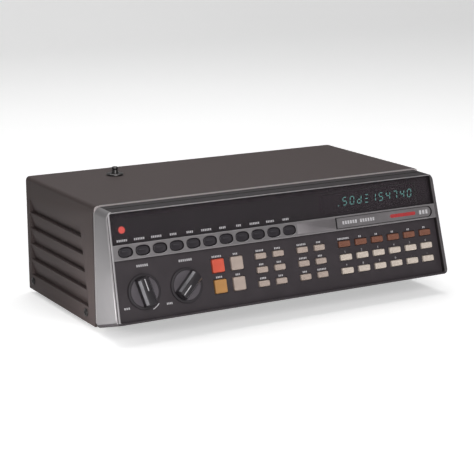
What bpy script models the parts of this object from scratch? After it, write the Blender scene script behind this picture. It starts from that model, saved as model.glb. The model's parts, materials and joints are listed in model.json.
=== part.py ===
"""A desktop police scanner: a louvred cabinet with a leaning keyboard front and a pull-up whip.

World frame: +X to the right of someone facing the keys, +Y to the rear, +Z up. The origin is
under the middle of the case, level with the underside of its feet. Face parts are drawn in the
face frame: x to the right, y up the leaning face, z straight out of it.
"""

import math

import bmesh
import bpy
from mathutils import Matrix, Vector

MM = 0.001

# ---- Overall sizes ----
CABINET_WIDTH = 270.0 * MM
CABINET_HEIGHT = 85.8 * MM  # lower edge of the cover to its top
CABINET_DEPTH = 121.8 * MM  # front edge of the cover's top to its rear edge
FOOT_HEIGHT = 3.0 * MM
GAP = 0.3 * MM  # air between pieces that touch on the real object
RUNNING_GAP = 0.4 * MM  # air around pieces that slide or turn
SHEET = 1.5 * MM  # steel of the chassis
PAST = 1.0 * MM  # how far a cutting tool runs past the surface it cuts

# ---- Cover ----
COVER_WALL = 1.6 * MM
COVER_RADIUS = 3.0 * MM
COVER_SIDE_SETBACK = 2.5 * MM  # shadow groove between the cover's sides and the cheeks
LOUVRE_COUNT = 5
LOUVRE_PITCH = 11.9 * MM
LOUVRE_LIP = 0.8 * MM
LOUVRE_DEPTH = 3.3 * MM
LOUVRE_LOWEST = 12.0 * MM  # lowest ledge above the cover's lower edge
LOUVRE_FRONT = 13.0 * MM  # behind the cover's front edge, at the lowest ledge
LOUVRE_REAR = 6.5 * MM  # ahead of the cover's rear edge
LOUVRE_LEAN = 0.2  # the louvres' front ends step back by this share of their height

# ---- Face: where its plane lies, and the bezel around it ----
FACE_TILT = math.radians(15.5)
FACE_SETBACK = 15.2 * MM  # the window's top line ahead of the cover's front edge
FACE_DROP = 3.1 * MM  # the window's top line below the cover's top
CHIN_RISE = 10.6 * MM  # the bezel's lower front edge above the cover's lower edge
CHEEK_FLARE = 2.3 * MM  # the bezel's half width grows by this much down the face
RIM_PROUD = 3.5 * MM
RIM_WIDTH = 2.7 * MM
RIM_CHAMFER = 0.6 * MM
VISOR_LIP = 1.3 * MM  # the rim's thickness above the window
VISOR_DROP = 0.8 * MM  # the visor's rear edge below the cover's top
VISOR_GROOVE_BACK = 8.0 * MM
VISOR_GROOVE = 1.2 * MM
VISOR_GROOVE_DEPTH = 2.0 * MM  # below the cover's top
CHIN_WALL = 1.5 * MM
NECK_LENGTH = 8.0 * MM
NECK_WALL = 2.2 * MM
NECK_LEAST_RADIUS = 0.5 * MM
BEZEL_TOP_RADIUS = 5.0 * MM
BEZEL_BOTTOM_RADIUS = 3.5 * MM
INNER_RADIUS = 1.2 * MM
CORNER_STEPS = 4

# ---- Crossbar with the service keys and the nameplate pocket ----
BAR_TOP = 21.3 * MM  # distances down the face from the window's top line
BAR_BOTTOM = 31.9 * MM
BAR_PROUD = 3.2 * MM
BAR_BACK = 0.5 * MM
BAR_CHAMFER = 0.6 * MM
POCKET_LEFT = 43.8 * MM
POCKET_END = 2.2 * MM  # from the pocket's round end to the bar's inner end
POCKET_HEIGHT = 8.2 * MM
POCKET_DEPTH = 0.8 * MM

# ---- Window, panel, display and boards ----
WINDOW_THICKNESS = 2.0 * MM
PANEL_THICKNESS = 2.0 * MM
DISPLAY_SIZE = (82.0 * MM, 15.0 * MM, 4.6 * MM)
DISPLAY_EDGE = 1.0 * MM  # bevel round its front
DISPLAY_RIGHT = 12.0 * MM  # from the opening's right edge
DISPLAY_DOWN = 12.0 * MM
BOARD_BACK = 8.0 * MM  # the key board's front face behind the panel's face
BOARD_THICKNESS = 1.6 * MM
BOARD_INSET = 6.0 * MM
SWITCH_SIZE = 5.0 * MM
SWITCH_HEIGHT = 1.0 * MM
LED_RADIUS = 2.4 * MM
LED_LEFT = 10.1 * MM  # from the opening's left edge
LED_DOWN = 11.4 * MM

# ---- Keys ----
KEY_TRAVEL = 1.2 * MM
KEY_CLEARANCE = 0.4 * MM
KEY_PROUD = 1.4 * MM
KEY_FLANGE = 1.0 * MM  # how far the flange reaches past the cap, and its thickness
KEY_CHAMFER = 0.3 * MM
KEY_STEM = 3.0 * MM
SERVICE_KEY = (10.0 * MM, 6.4 * MM)
SERVICE_SINK = 0.4 * MM  # below the bar's face
SERVICE_COUNT = 11
SERVICE_PITCH = 12.85 * MM
SERVICE_FIRST = 8.5 * MM  # from the opening's left edge
SERVICE_STEPS = 16
SERVICE_SQUARENESS = 2.6  # 2 is an ellipse; more fills its corners
SQUARE_KEY = (9.4 * MM, 9.4 * MM)
SQUARE_PITCH = (14.9 * MM, 14.4 * MM)
SQUARE_LEFT = 77.7 * MM  # from the opening's left edge to the first column
SQUARE_DOWN = 12.4 * MM  # from the bar to the first row
FUNCTION_KEY = (8.6 * MM, 4.1 * MM)
FUNCTION_LEFT = 112.3 * MM
FUNCTION_BLOCK = 34.6 * MM
NUMBER_KEY = (9.7 * MM, 4.3 * MM)
NUMBER_RIGHT = 9.5 * MM  # from the opening's right edge to the last column
KEY_PITCH = (14.45 * MM, 9.78 * MM)
KEY_DOWN = 9.9 * MM

# ---- Knobs ----
KNOB_RADIUS = 12.2 * MM
KNOB_FACE_RADIUS = 10.0 * MM
KNOB_SKIRT = 1.0 * MM
KNOB_FACE = 1.3 * MM
KNOB_BAR = (20.4 * MM, 8.4 * MM, 6.0 * MM, 6.4 * MM)  # length, foot width, top width, height
KNOB_DOWN = 22.6 * MM  # from the bar to the knobs' centres
VOLUME_LEFT = 19.4 * MM
KNOB_PITCH = 32.2 * MM
KNOB_STEPS = 36
SHAFT_RADIUS = 3.0 * MM
POT_RADIUS = 8.0 * MM
POT_HEIGHT = 5.0 * MM
VOLUME_ANGLE = math.radians(-13.3)  # pointer from straight up, clockwise positive
SQUELCH_ANGLE = math.radians(-133.7)

# ---- Chassis and what it carries ----
REAR_RECESS = 3.0 * MM
FOOT_RADIUS = 7.0 * MM
FOOT_INSET = 14.0 * MM
MAIN_BOARD_LIFT = 5.0 * MM
MAIN_BOARD_LEFT = 75.0 * MM  # from the cabinet's left side
MAIN_BOARD_RIGHT = 9.0 * MM
MAIN_BOARD_FRONT = 14.0 * MM
MAIN_BOARD_REAR = 6.0 * MM  # from the rear wall
POST_RADIUS = 2.5 * MM
# Blocks on the main board: (distance from its left and front edges to the left side and the middle),
# (width, depth, height). They are the tuner can, three chips and a cooling block.
BOARD_BLOCKS = (
    ((16 * MM, 24 * MM), (56 * MM, 34 * MM, 16 * MM)),
    ((84 * MM, 26 * MM), (40 * MM, 14 * MM, 4 * MM)),
    ((84 * MM, 50 * MM), (22 * MM, 8 * MM, 4 * MM)),
    ((116 * MM, 50 * MM), (22 * MM, 8 * MM, 4 * MM)),
    ((140 * MM, 20 * MM), (8 * MM, 30 * MM, 20 * MM)),
)
CAPACITORS = (((158 * MM, 28 * MM), 8 * MM, 26 * MM), ((158 * MM, 50 * MM), 6 * MM, 20 * MM))
CAPACITOR_STEPS = 16
JACK_HEIGHT = 14.0 * MM  # jack centres above the board
JACK_RADIUS = 4.4 * MM
JACK_BORE = 1.9 * MM
JACK_PITCH = 24.0 * MM
JACK_FIRST = 30.0 * MM  # from the board's left edge
JACK_PROUD = 2.2 * MM
JACK_SHELL = 1.5 * MM  # wall of the jack's body round its barrel
JACK_DEPTH = 12.0 * MM  # how far a jack reaches in over the board
JACK_BARREL = 10.0 * MM
INLET_SIZE = (22.0 * MM, 14.0 * MM)
INLET_BORE = (14.0 * MM, 7.0 * MM, 9.0 * MM)
INLET_FROM_RIGHT = 30.0 * MM
SPEAKER_RADIUS = 28.5 * MM
SPEAKER_LEFT = 37.0 * MM
SPEAKER_BACK = 40.0 * MM
SPEAKER_RIM = 4.0 * MM  # width of the frame's flange
SPEAKER_FLANGE = 2.0 * MM
SPEAKER_DISH = 0.5 * MM  # the cone starts this far behind the flange
SPEAKER_NECK = (12.0 * MM, 12.0 * MM)  # radius and height where the frame meets the magnet
MAGNET_RADIUS = 14.5 * MM
MAGNET_TOP = 21.0 * MM
CONE_THROAT = (5.0 * MM, 9.0 * MM)  # radius and height
TRANSFORMER_SIZE = (40.0 * MM, 36.0 * MM, 34.0 * MM)
CORE_SHARE = 0.5  # the iron core's share of the depth
COIL_INSET = (7.0 * MM, 5.0 * MM)  # from the core's sides, and from its top and foot
STRAP_SHARE = 0.9  # the mounting strap's share of the depth
STRAP_INSET = 2.0 * MM
TRANSFORMER_LEFT = 28.5 * MM
TRANSFORMER_REAR = 24.0 * MM
SLOT_COUNT = 7
SLOT_WIDTH = 2.6 * MM
SLOT_PITCH = 6.4 * MM

# ---- Antenna ----
ANTENNA_LEFT = 59.3 * MM
ANTENNA_REAR = 29.6 * MM
MAST_RADIUS = 2.4 * MM
MAST_BORE = 1.7 * MM
ROD_RADIUS = 1.3 * MM
MAST_TOP = 4.3 * MM  # above the cover
TIP_HEIGHT = 2.0 * MM
STOP_RADIUS = 3.8 * MM
STOP_HEIGHT = 2.5 * MM
COLLAR_RADIUS = 6.3 * MM
COLLAR_HEIGHT = 1.6 * MM
SLEEVE_WALL = 1.5 * MM
SLEEVE_LENGTH = 14.0 * MM
MAST_CLEAR = 8.0 * MM  # foot of the mast above the chassis floor
ROUND_STEPS = 24
SMALL_STEPS = 12
SPEAKER_STEPS = 32

# ---- Places worked out from the sizes ----
HALF_WIDTH = CABINET_WIDTH / 2
COVER_BOTTOM = FOOT_HEIGHT
COVER_TOP = FOOT_HEIGHT + CABINET_HEIGHT
FACE_LENGTH = (CABINET_HEIGHT - FACE_DROP - CHIN_RISE) / math.cos(FACE_TILT)
OPENING_HALF = HALF_WIDTH - RIM_WIDTH


def reach(down, out):
    """How far a point of the face lies ahead of the cover's front edge."""
    return FACE_SETBACK + down * math.sin(FACE_TILT) + out * math.cos(FACE_TILT)


FRONT_REACH = max(
    reach(FACE_LENGTH, RIM_PROUD - RIM_CHAMFER), reach(FACE_LENGTH - RIM_CHAMFER, RIM_PROUD)
)
JUNCTION_Y = (FRONT_REACH - CABINET_DEPTH) / 2
REAR_Y = JUNCTION_Y + CABINET_DEPTH
REAR_WALL_Y = REAR_Y - REAR_RECESS
FLOOR_TOP = COVER_BOTTOM + SHEET
FACE_ORIGIN = (0, JUNCTION_Y - FACE_SETBACK, COVER_TOP - FACE_DROP)
FACE_FRAME = Matrix.Translation(FACE_ORIGIN) @ Matrix.Rotation(math.pi / 2 - FACE_TILT, 4, "X")
BAR_MIDDLE = (BAR_TOP + BAR_BOTTOM) / 2
PANEL_BACK = -PANEL_THICKNESS
SWITCH_TOP = -BOARD_BACK + SWITCH_HEIGHT
STEM_END = SWITCH_TOP + KEY_TRAVEL + GAP


# ---- Making meshes ----
def clear_scene():
    for obj in list(bpy.data.objects):
        bpy.data.objects.remove(obj, do_unlink=True)


def material(name, color, roughness, metallic=0.0, alpha=1.0):
    found = bpy.data.materials.get(name)
    if found:
        return found
    made = bpy.data.materials.new(name)
    made.use_nodes = True
    shader = made.node_tree.nodes["Principled BSDF"]
    shader.inputs["Base Color"].default_value = (*color, 1.0)
    shader.inputs["Roughness"].default_value = roughness
    shader.inputs["Metallic"].default_value = metallic
    shader.inputs["Alpha"].default_value = alpha
    return made


def make_object(name, points, faces, finish=None, frame=None):
    mesh = bpy.data.meshes.new(name)
    mesh.from_pydata([tuple(p) for p in points], [], faces)
    mesh.validate()
    work = bmesh.new()
    work.from_mesh(mesh)
    bmesh.ops.recalc_face_normals(work, faces=work.faces)
    work.to_mesh(mesh)
    work.free()
    mesh.shade_smooth()
    mesh.set_sharp_from_angle(angle=math.radians(30))
    obj = bpy.data.objects.new(name, mesh)
    bpy.context.scene.collection.objects.link(obj)
    if finish:
        mesh.materials.append(finish)
    if frame:
        obj.matrix_world = frame
    return obj


def loft(name, rings, finish=None, frame=None, closed=False):
    """Joins rings of equal length, one to the next. Open ends are capped, or the last meets the first."""
    count = len(rings[0])
    points = [p for ring in rings for p in ring]
    faces = []
    last = len(rings) if closed else len(rings) - 1
    for level in range(last):
        low, high = level * count, (level + 1) % len(rings) * count
        for i in range(count):
            j = (i + 1) % count
            faces.append((low + i, low + j, high + j, high + i))
    if not closed:
        faces.append(tuple(reversed(range(count))))
        faces.append(tuple(range(len(points) - count, len(points))))
    return make_object(name, points, faces, finish, frame)


def circle(radius, height, steps):
    turn = 2 * math.pi / steps
    return [
        Vector((radius * math.cos(i * turn), radius * math.sin(i * turn), height)) for i in range(steps)
    ]


def oval(size, height):
    """A slightly squared ellipse, the outline of a service key."""
    power = 2 / SERVICE_SQUARENESS
    return [
        Vector(
            (
                math.copysign(abs(p.x) ** power, p.x) * size[0] / 2,
                math.copysign(abs(p.y) ** power, p.y) * size[1] / 2,
                height,
            )
        )
        for p in circle(1.0, 0, SERVICE_STEPS)
    ]


def rectangle(size, height):
    x, y = size[0] / 2, size[1] / 2
    return [Vector((a * x, b * y, height)) for a, b in ((-1, -1), (1, -1), (1, 1), (-1, 1))]


def turned(name, profile, steps, finish=None, frame=None, closed=False):
    """A turned piece from (radius, height) pairs. A closed profile makes a piece with a bore."""
    return loft(name, [circle(r, z, steps) for r, z in profile], finish, frame, closed)


def block(name, low, high, finish=None, frame=None):
    middle = [(a + b) / 2 for a, b in zip(low, high)]
    size = (high[0] - low[0], high[1] - low[1])
    rings = [
        [p + Vector((middle[0], middle[1], 0)) for p in rectangle(size, height)]
        for height in (low[2], high[2])
    ]
    return loft(name, rings, finish, frame)


def prism(name, outline, start, end, finish=None, frame=None):
    """An outline of (y, z) pairs, pulled along X."""
    return loft(name, [[Vector((x, y, z)) for y, z in outline] for x in (start, end)], finish, frame)


def join_meshes(pieces):
    """Puts several pieces that don't touch into the first one's mesh."""
    first = pieces[0]
    work = bmesh.new()
    for piece in pieces:
        part = piece.data.copy()
        part.transform(first.matrix_world.inverted() @ piece.matrix_world)
        work.from_mesh(part)
        bpy.data.meshes.remove(part)
    work.to_mesh(first.data)
    work.free()
    for piece in pieces[1:]:
        bpy.data.objects.remove(piece, do_unlink=True)
    return first


def combine(obj, tools, operation):
    """Applies one Boolean for each tool, then removes the tools."""
    for tool in tools:
        modifier = obj.modifiers.new(tool.name, "BOOLEAN")
        modifier.operation = operation
        modifier.solver = "EXACT"
        modifier.object = tool
        bpy.context.view_layer.update()
        graph = bpy.context.evaluated_depsgraph_get()
        result = bpy.data.meshes.new_from_object(obj.evaluated_get(graph))
        obj.modifiers.clear()
        obj.data = result
        bpy.data.objects.remove(tool, do_unlink=True)
    obj.data.shade_smooth()
    obj.data.set_sharp_from_angle(angle=math.radians(30))
    return obj


def cut(obj, *tools):
    return combine(obj, tools, "DIFFERENCE")


def add(obj, *tools):
    return combine(obj, tools, "UNION")


def at(x, y, z):
    return Matrix.Translation((x, y, z))


def on_face(x, down, out=0.0, turn=0.0):
    return FACE_FRAME @ Matrix.Translation((x, -down, out)) @ Matrix.Rotation(-turn, 4, "Z")


# ---- Finishes ----
COVER_PAINT = material("cover_paint", (0.10, 0.085, 0.08), 0.55)
SILVER = material("silver_paint", (0.46, 0.45, 0.46), 0.35, 0.6)
CHARCOAL = material("charcoal_plastic", (0.045, 0.04, 0.044), 0.45)
SMOKED = material("smoked_window", (0.02, 0.018, 0.02), 0.08, alpha=0.55)
TUBE_GLASS = material("display_glass", (0.02, 0.05, 0.05), 0.1)
BOARD_GREEN = material("board_green", (0.03, 0.13, 0.06), 0.5)
ZINC_STEEL = material("zinc_steel", (0.55, 0.55, 0.52), 0.4, 1.0)
IRON = material("transformer_iron", (0.12, 0.11, 0.10), 0.5, 0.8)
SPEAKER_BLACK = material("speaker_black", (0.02, 0.02, 0.02), 0.7)
KNOB_PLASTIC = material("knob_plastic", (0.06, 0.055, 0.058), 0.4)
SERVICE_PLASTIC = material("service_key_plastic", (0.03, 0.028, 0.03), 0.45)
ORANGE = material("orange_key_plastic", (0.75, 0.12, 0.06), 0.45)
AMBER = material("amber_key_plastic", (0.58, 0.31, 0.08), 0.45)
CREAM = material("cream_key_plastic", (0.62, 0.53, 0.42), 0.45)
BROWN = material("brown_key_plastic", (0.26, 0.10, 0.045), 0.45)
CHROME = material("antenna_chrome", (0.6, 0.6, 0.6), 0.15, 1.0)


# ---- Cabinet ----
def arch_outline(half, top, bottom, radius):
    """Up the left side, over the top with round corners and down the right side, as (x, z) pairs."""
    points = [(-half, bottom)]
    for corner, start in ((-1, math.pi), (1, math.pi / 2)):
        for step in range(CORNER_STEPS + 1):
            angle = start - step * math.pi / 2 / CORNER_STEPS
            middle = (corner * (half - radius), top - radius)
            points.append((middle[0] + radius * math.cos(angle), middle[1] + radius * math.sin(angle)))
    points.append((half, bottom))
    return points


def louvre_wedge(side, index):
    """The tool for one band: flush at its top, deepest at the ledge below."""
    ledge = COVER_BOTTOM + LOUVRE_LOWEST + index * LOUVRE_PITCH
    top = ledge + LOUVRE_PITCH - LOUVRE_LIP
    face, outside, deep = HALF_WIDTH, HALF_WIDTH + PAST, HALF_WIDTH - LOUVRE_DEPTH
    front = JUNCTION_Y + LOUVRE_FRONT + LOUVRE_LEAN * index * LOUVRE_PITCH
    rear = REAR_Y - LOUVRE_REAR
    lean = LOUVRE_LEAN * (top - ledge)
    outline = [(outside, ledge, 0), (deep, ledge, 0), (face, top, lean), (outside, top, lean)]
    rings = [
        [Vector((side * x, front + shift, z)) for x, z, shift in outline],
        [Vector((side * x, rear, z)) for x, z, _ in outline],
    ]
    return loft("louvre_tool", rings)


def cabinet_cover():
    outer = arch_outline(HALF_WIDTH, COVER_TOP, COVER_BOTTOM, COVER_RADIUS)
    inner = arch_outline(
        HALF_WIDTH - COVER_WALL, COVER_TOP - COVER_WALL, COVER_BOTTOM, COVER_RADIUS - COVER_WALL
    )
    outline = outer + inner[::-1]
    rings = [[Vector((x, y, z)) for x, z in outline] for y in (JUNCTION_Y, REAR_Y)]
    cover = loft("cabinet_cover", rings, COVER_PAINT)
    lowest = COVER_BOTTOM + LOUVRE_LOWEST
    highest = lowest + LOUVRE_COUNT * LOUVRE_PITCH
    pads = []
    for side in (-1, 1):
        edges = sorted(
            (side * (HALF_WIDTH - COVER_WALL / 2), side * (HALF_WIDTH - LOUVRE_DEPTH - COVER_WALL))
        )
        pads.append(
            block(
                "louvre_backing",
                (edges[0], JUNCTION_Y + LOUVRE_FRONT - COVER_WALL, lowest - COVER_WALL),
                (edges[1], REAR_Y - LOUVRE_REAR + COVER_WALL, highest),
            )
        )
    add(cover, join_meshes(pads))
    wedges = [louvre_wedge(side, index) for side in (-1, 1) for index in range(LOUVRE_COUNT)]
    trims = []
    for side in (-1, 1):
        edges = sorted((side * (HALF_WIDTH - 3 * COVER_WALL), side * (HALF_WIDTH + COVER_WALL)))
        trims.append(
            block(
                "side_trim",
                (edges[0], JUNCTION_Y - PAST, COVER_BOTTOM - PAST),
                (edges[1], JUNCTION_Y + COVER_SIDE_SETBACK, COVER_TOP - BEZEL_TOP_RADIUS),
            )
        )
    hole = turned(
        "antenna_hole",
        [
            (MAST_RADIUS + RUNNING_GAP + SLEEVE_WALL + GAP, COVER_TOP - 2 * COVER_WALL),
            (MAST_RADIUS + RUNNING_GAP + SLEEVE_WALL + GAP, COVER_TOP + COVER_WALL),
        ],
        ROUND_STEPS,
        frame=at(ANTENNA_LEFT - HALF_WIDTH, REAR_Y - ANTENNA_REAR, 0),
    )
    cut(cover, join_meshes(wedges), join_meshes(trims), hole)


def rounded_ring(half_top, half_bottom, top, bottom, radius_top, radius_bottom):
    """A ring of (x, height) pairs, anticlockwise from the lower right corner."""
    corners = [
        (half_bottom, bottom, radius_bottom, -math.pi / 2, 1, 1),
        (half_top, top, radius_top, 0.0, 1, -1),
        (-half_top, top, radius_top, math.pi / 2, -1, -1),
        (-half_bottom, bottom, radius_bottom, math.pi, -1, 1),
    ]
    points = []
    for x, height, radius, start, side, inward in corners:
        for step in range(CORNER_STEPS + 1):
            angle = start + step * math.pi / 2 / CORNER_STEPS
            middle = (x - side * radius, height + inward * radius)
            points.append((middle[0] + radius * math.cos(angle), middle[1] + radius * math.sin(angle)))
    return points


def upright_ring(y, inset, radius_top, radius_bottom, drop=0.0):
    ring = rounded_ring(
        HALF_WIDTH - inset,
        HALF_WIDTH - inset,
        COVER_TOP - inset - drop,
        COVER_BOTTOM + inset,
        radius_top,
        radius_bottom,
    )
    return [Vector((x, y, z)) for x, z in ring]


def flared_half(down):
    return HALF_WIDTH + CHEEK_FLARE * down / FACE_LENGTH


def face_ring(top, bottom, inset, out, radius_top, radius_bottom):
    ring = rounded_ring(
        flared_half(top) - inset, flared_half(bottom) - inset, -top, -bottom, radius_top, radius_bottom
    )
    return [FACE_FRAME @ Vector((x, height, out)) for x, height in ring]


def pill(name, left, right, middle, height, low, high):
    """A bar with a square left end and a round right end, for cutting the nameplate pocket."""
    radius = height / 2
    outline = [(left, middle - radius)]
    for step in range(2 * CORNER_STEPS + 1):
        angle = -math.pi / 2 + step * math.pi / 2 / CORNER_STEPS
        outline.append((right - radius + radius * math.cos(angle), middle + radius * math.sin(angle)))
    outline.append((left, middle + radius))
    return loft(name, [[Vector((x, y, z)) for x, y in outline] for z in (low, high)], frame=FACE_FRAME)


def service_places():
    return [SERVICE_FIRST - OPENING_HALF + i * SERVICE_PITCH for i in range(SERVICE_COUNT)]


def front_bezel():
    neck = COVER_WALL + GAP
    neck_radius = max(COVER_RADIUS - neck, NECK_LEAST_RADIUS)
    rings = [
        upright_ring(JUNCTION_Y + NECK_LENGTH, neck, neck_radius, neck_radius),
        upright_ring(JUNCTION_Y - GAP, neck, neck_radius, neck_radius),
        upright_ring(JUNCTION_Y - GAP, 0.0, BEZEL_TOP_RADIUS, BEZEL_BOTTOM_RADIUS, VISOR_DROP),
        face_ring(
            -VISOR_LIP, FACE_LENGTH, 0.0, RIM_PROUD - RIM_CHAMFER, BEZEL_TOP_RADIUS, BEZEL_BOTTOM_RADIUS
        ),
        face_ring(
            RIM_CHAMFER - VISOR_LIP,
            FACE_LENGTH - RIM_CHAMFER,
            RIM_CHAMFER,
            RIM_PROUD,
            BEZEL_TOP_RADIUS - RIM_CHAMFER,
            BEZEL_BOTTOM_RADIUS - RIM_CHAMFER,
        ),
        face_ring(0.0, FACE_LENGTH - CHIN_WALL, RIM_WIDTH, RIM_PROUD, INNER_RADIUS, INNER_RADIUS),
        face_ring(0.0, FACE_LENGTH - CHIN_WALL, RIM_WIDTH, PANEL_BACK, INNER_RADIUS, INNER_RADIUS),
        upright_ring(JUNCTION_Y + NECK_LENGTH, neck + NECK_WALL, INNER_RADIUS, INNER_RADIUS),
    ]
    bezel = loft("front_bezel", rings, SILVER, closed=True)
    bar_outline = [
        (-BAR_BOTTOM, BAR_BACK),
        (-BAR_BOTTOM, BAR_PROUD - BAR_CHAMFER),
        (-BAR_BOTTOM + BAR_CHAMFER, BAR_PROUD),
        (-BAR_TOP - BAR_CHAMFER, BAR_PROUD),
        (-BAR_TOP, BAR_PROUD - BAR_CHAMFER),
        (-BAR_TOP, BAR_BACK),
    ]
    bar_half = OPENING_HALF + RIM_WIDTH / 2
    add(bezel, prism("bar_tool", bar_outline, -bar_half, bar_half, frame=FACE_FRAME))
    half, rear = HALF_WIDTH - BEZEL_TOP_RADIUS, JUNCTION_Y - VISOR_GROOVE_BACK
    groove = block(
        "groove_tool",
        (-half, rear - VISOR_GROOVE, COVER_TOP - VISOR_GROOVE_DEPTH),
        (half, rear, COVER_TOP + PAST),
    )
    hole = (SERVICE_KEY[0] + 2 * KEY_CLEARANCE, SERVICE_KEY[1] + 2 * KEY_CLEARANCE)
    holes = [
        loft(
            "service_hole",
            [oval(hole, BAR_BACK - PAST), oval(hole, BAR_PROUD + PAST)],
            frame=on_face(x, BAR_MIDDLE),
        )
        for x in service_places()
    ]
    pocket = pill(
        "pocket_tool",
        POCKET_LEFT,
        OPENING_HALF - POCKET_END,
        -BAR_MIDDLE,
        POCKET_HEIGHT,
        BAR_PROUD - POCKET_DEPTH,
        BAR_PROUD + PAST,
    )
    cut(bezel, groove, join_meshes(holes), pocket)


# ---- Keys, and the panel they come through ----
def key_places():
    """Every key of the dark panel: its name, its place on the face, its size and its finish."""
    places = []
    square_finish = {(0, 0): ORANGE, (1, 0): AMBER}
    for row in range(2):
        for column in range(2):
            x = SQUARE_LEFT - OPENING_HALF + column * SQUARE_PITCH[0]
            down = BAR_BOTTOM + SQUARE_DOWN + row * SQUARE_PITCH[1]
            finish = square_finish.get((row, column), CREAM)
            places.append((f"square_key_r{row + 1}c{column + 1}", x, down, SQUARE_KEY, finish))
    for row in range(3):
        down = BAR_BOTTOM + KEY_DOWN + row * KEY_PITCH[1]
        for column in range(4):
            x = FUNCTION_LEFT - OPENING_HALF + column % 2 * KEY_PITCH[0] + column // 2 * FUNCTION_BLOCK
            places.append((f"function_key_r{row + 1}c{column + 1}", x, down, FUNCTION_KEY, CREAM))
    for row in range(3):
        down = BAR_BOTTOM + KEY_DOWN + row * KEY_PITCH[1]
        for column in range(6):
            x = OPENING_HALF - NUMBER_RIGHT - (5 - column) * KEY_PITCH[0]
            finish = BROWN if row == 0 else CREAM
            places.append((f"number_key_r{row + 1}c{column + 1}", x, down, NUMBER_KEY, finish))
    return places


def knob_places():
    down = BAR_BOTTOM + KNOB_DOWN
    left = VOLUME_LEFT - OPENING_HALF
    return [
        ("volume_knob", left, down, VOLUME_ANGLE),
        ("squelch_knob", left + KNOB_PITCH, down, SQUELCH_ANGLE),
    ]


def key_body(name, x, down, section, size, top, flange_top, finish):
    """A cap, the flange that keeps it in, and the stem that presses the switch."""
    wide = (size[0] + 2 * KEY_FLANGE, size[1] + 2 * KEY_FLANGE)
    worn = (size[0] - 2 * KEY_CHAMFER, size[1] - 2 * KEY_CHAMFER)
    stem = (KEY_STEM, KEY_STEM)
    levels = [
        (stem, STEM_END),
        (stem, flange_top - KEY_FLANGE),
        (wide, flange_top - KEY_FLANGE),
        (wide, flange_top),
        (size, flange_top),
        (size, top - KEY_CHAMFER),
        (worn, top),
    ]
    return loft(name, [section(*level) for level in levels], finish, on_face(x, down))


def keys():
    for name, x, down, size, finish in key_places():
        key_body(name, x, down, rectangle, size, KEY_PROUD, PANEL_BACK - GAP, finish)
    for number, x in enumerate(service_places(), 1):
        key_body(
            f"service_key_{number:02d}",
            x,
            BAR_MIDDLE,
            oval,
            SERVICE_KEY,
            BAR_PROUD - SERVICE_SINK,
            BAR_BACK - GAP,
            SERVICE_PLASTIC,
        )


def plate(name, top, bottom, low, high, finish):
    """A flat plate that fills the opening from one distance down the face to another."""
    rings = []
    for out in (low, high):
        inset = RIM_WIDTH + GAP
        left_top, left_bottom = flared_half(top) - inset, flared_half(bottom) - inset
        rings.append(
            [
                Vector((-left_bottom, -bottom, out)),
                Vector((left_bottom, -bottom, out)),
                Vector((left_top, -top, out)),
                Vector((-left_top, -top, out)),
            ]
        )
    return loft(name, rings, finish, FACE_FRAME)


def face_panel():
    bottom = FACE_LENGTH - CHIN_WALL - INNER_RADIUS
    panel = plate("face_panel", BAR_BOTTOM, bottom, PANEL_BACK, 0.0, CHARCOAL)
    holes = []
    for _, x, down, size, _ in key_places():
        hole = (size[0] + 2 * KEY_CLEARANCE, size[1] + 2 * KEY_CLEARANCE)
        rings = [rectangle(hole, PANEL_BACK - PAST), rectangle(hole, PAST)]
        holes.append(loft("key_hole", rings, frame=on_face(x, down)))
    for _, x, down, _ in knob_places():
        radius = SHAFT_RADIUS + RUNNING_GAP
        profile = [(radius, PANEL_BACK - PAST), (radius, PAST)]
        holes.append(turned("shaft_hole", profile, ROUND_STEPS, frame=on_face(x, down)))
    cut(panel, join_meshes(holes))


def display_window():
    plate("display_window", INNER_RADIUS, BAR_TOP, -WINDOW_THICKNESS, 0.0, SMOKED)


def display_tube():
    width, height, depth = DISPLAY_SIZE
    right = OPENING_HALF - DISPLAY_RIGHT
    middle = right - width / 2
    front = -WINDOW_THICKNESS - GAP
    edge = DISPLAY_EDGE
    rings = [
        rectangle((width, height), front - depth),
        rectangle((width, height), front - edge),
        rectangle((width - 2 * edge, height - 2 * edge), front),
    ]
    loft("display_tube", rings, TUBE_GLASS, on_face(middle, DISPLAY_DOWN))


# ---- Knobs ----
def knobs():
    length, foot, top, height = KNOB_BAR
    for name, x, down, turn in knob_places():
        face = GAP + KNOB_FACE
        profile = [
            (SHAFT_RADIUS, -BOARD_BACK + 2 * GAP),
            (SHAFT_RADIUS, GAP),
            (KNOB_RADIUS, GAP),
            (KNOB_RADIUS, GAP + KNOB_SKIRT - KEY_CHAMFER),
            (KNOB_RADIUS - KEY_CHAMFER, GAP + KNOB_SKIRT),
            (KNOB_FACE_RADIUS, GAP + KNOB_SKIRT),
            (KNOB_FACE_RADIUS, face),
        ]
        knob = turned(name, profile, KNOB_STEPS, KNOB_PLASTIC, on_face(x, down, turn=turn))
        shorten = (foot - top) / 2
        rings = [
            rectangle((foot, length), GAP + KNOB_SKIRT / 2),
            rectangle((foot, length), face),
            rectangle((top, length - shorten), face + height - KEY_CHAMFER),
            rectangle((top - 2 * KEY_CHAMFER, length - shorten - 2 * KEY_CHAMFER), face + height),
        ]
        add(knob, loft("grip_tool", rings, frame=on_face(x, down, turn=turn)))


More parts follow.
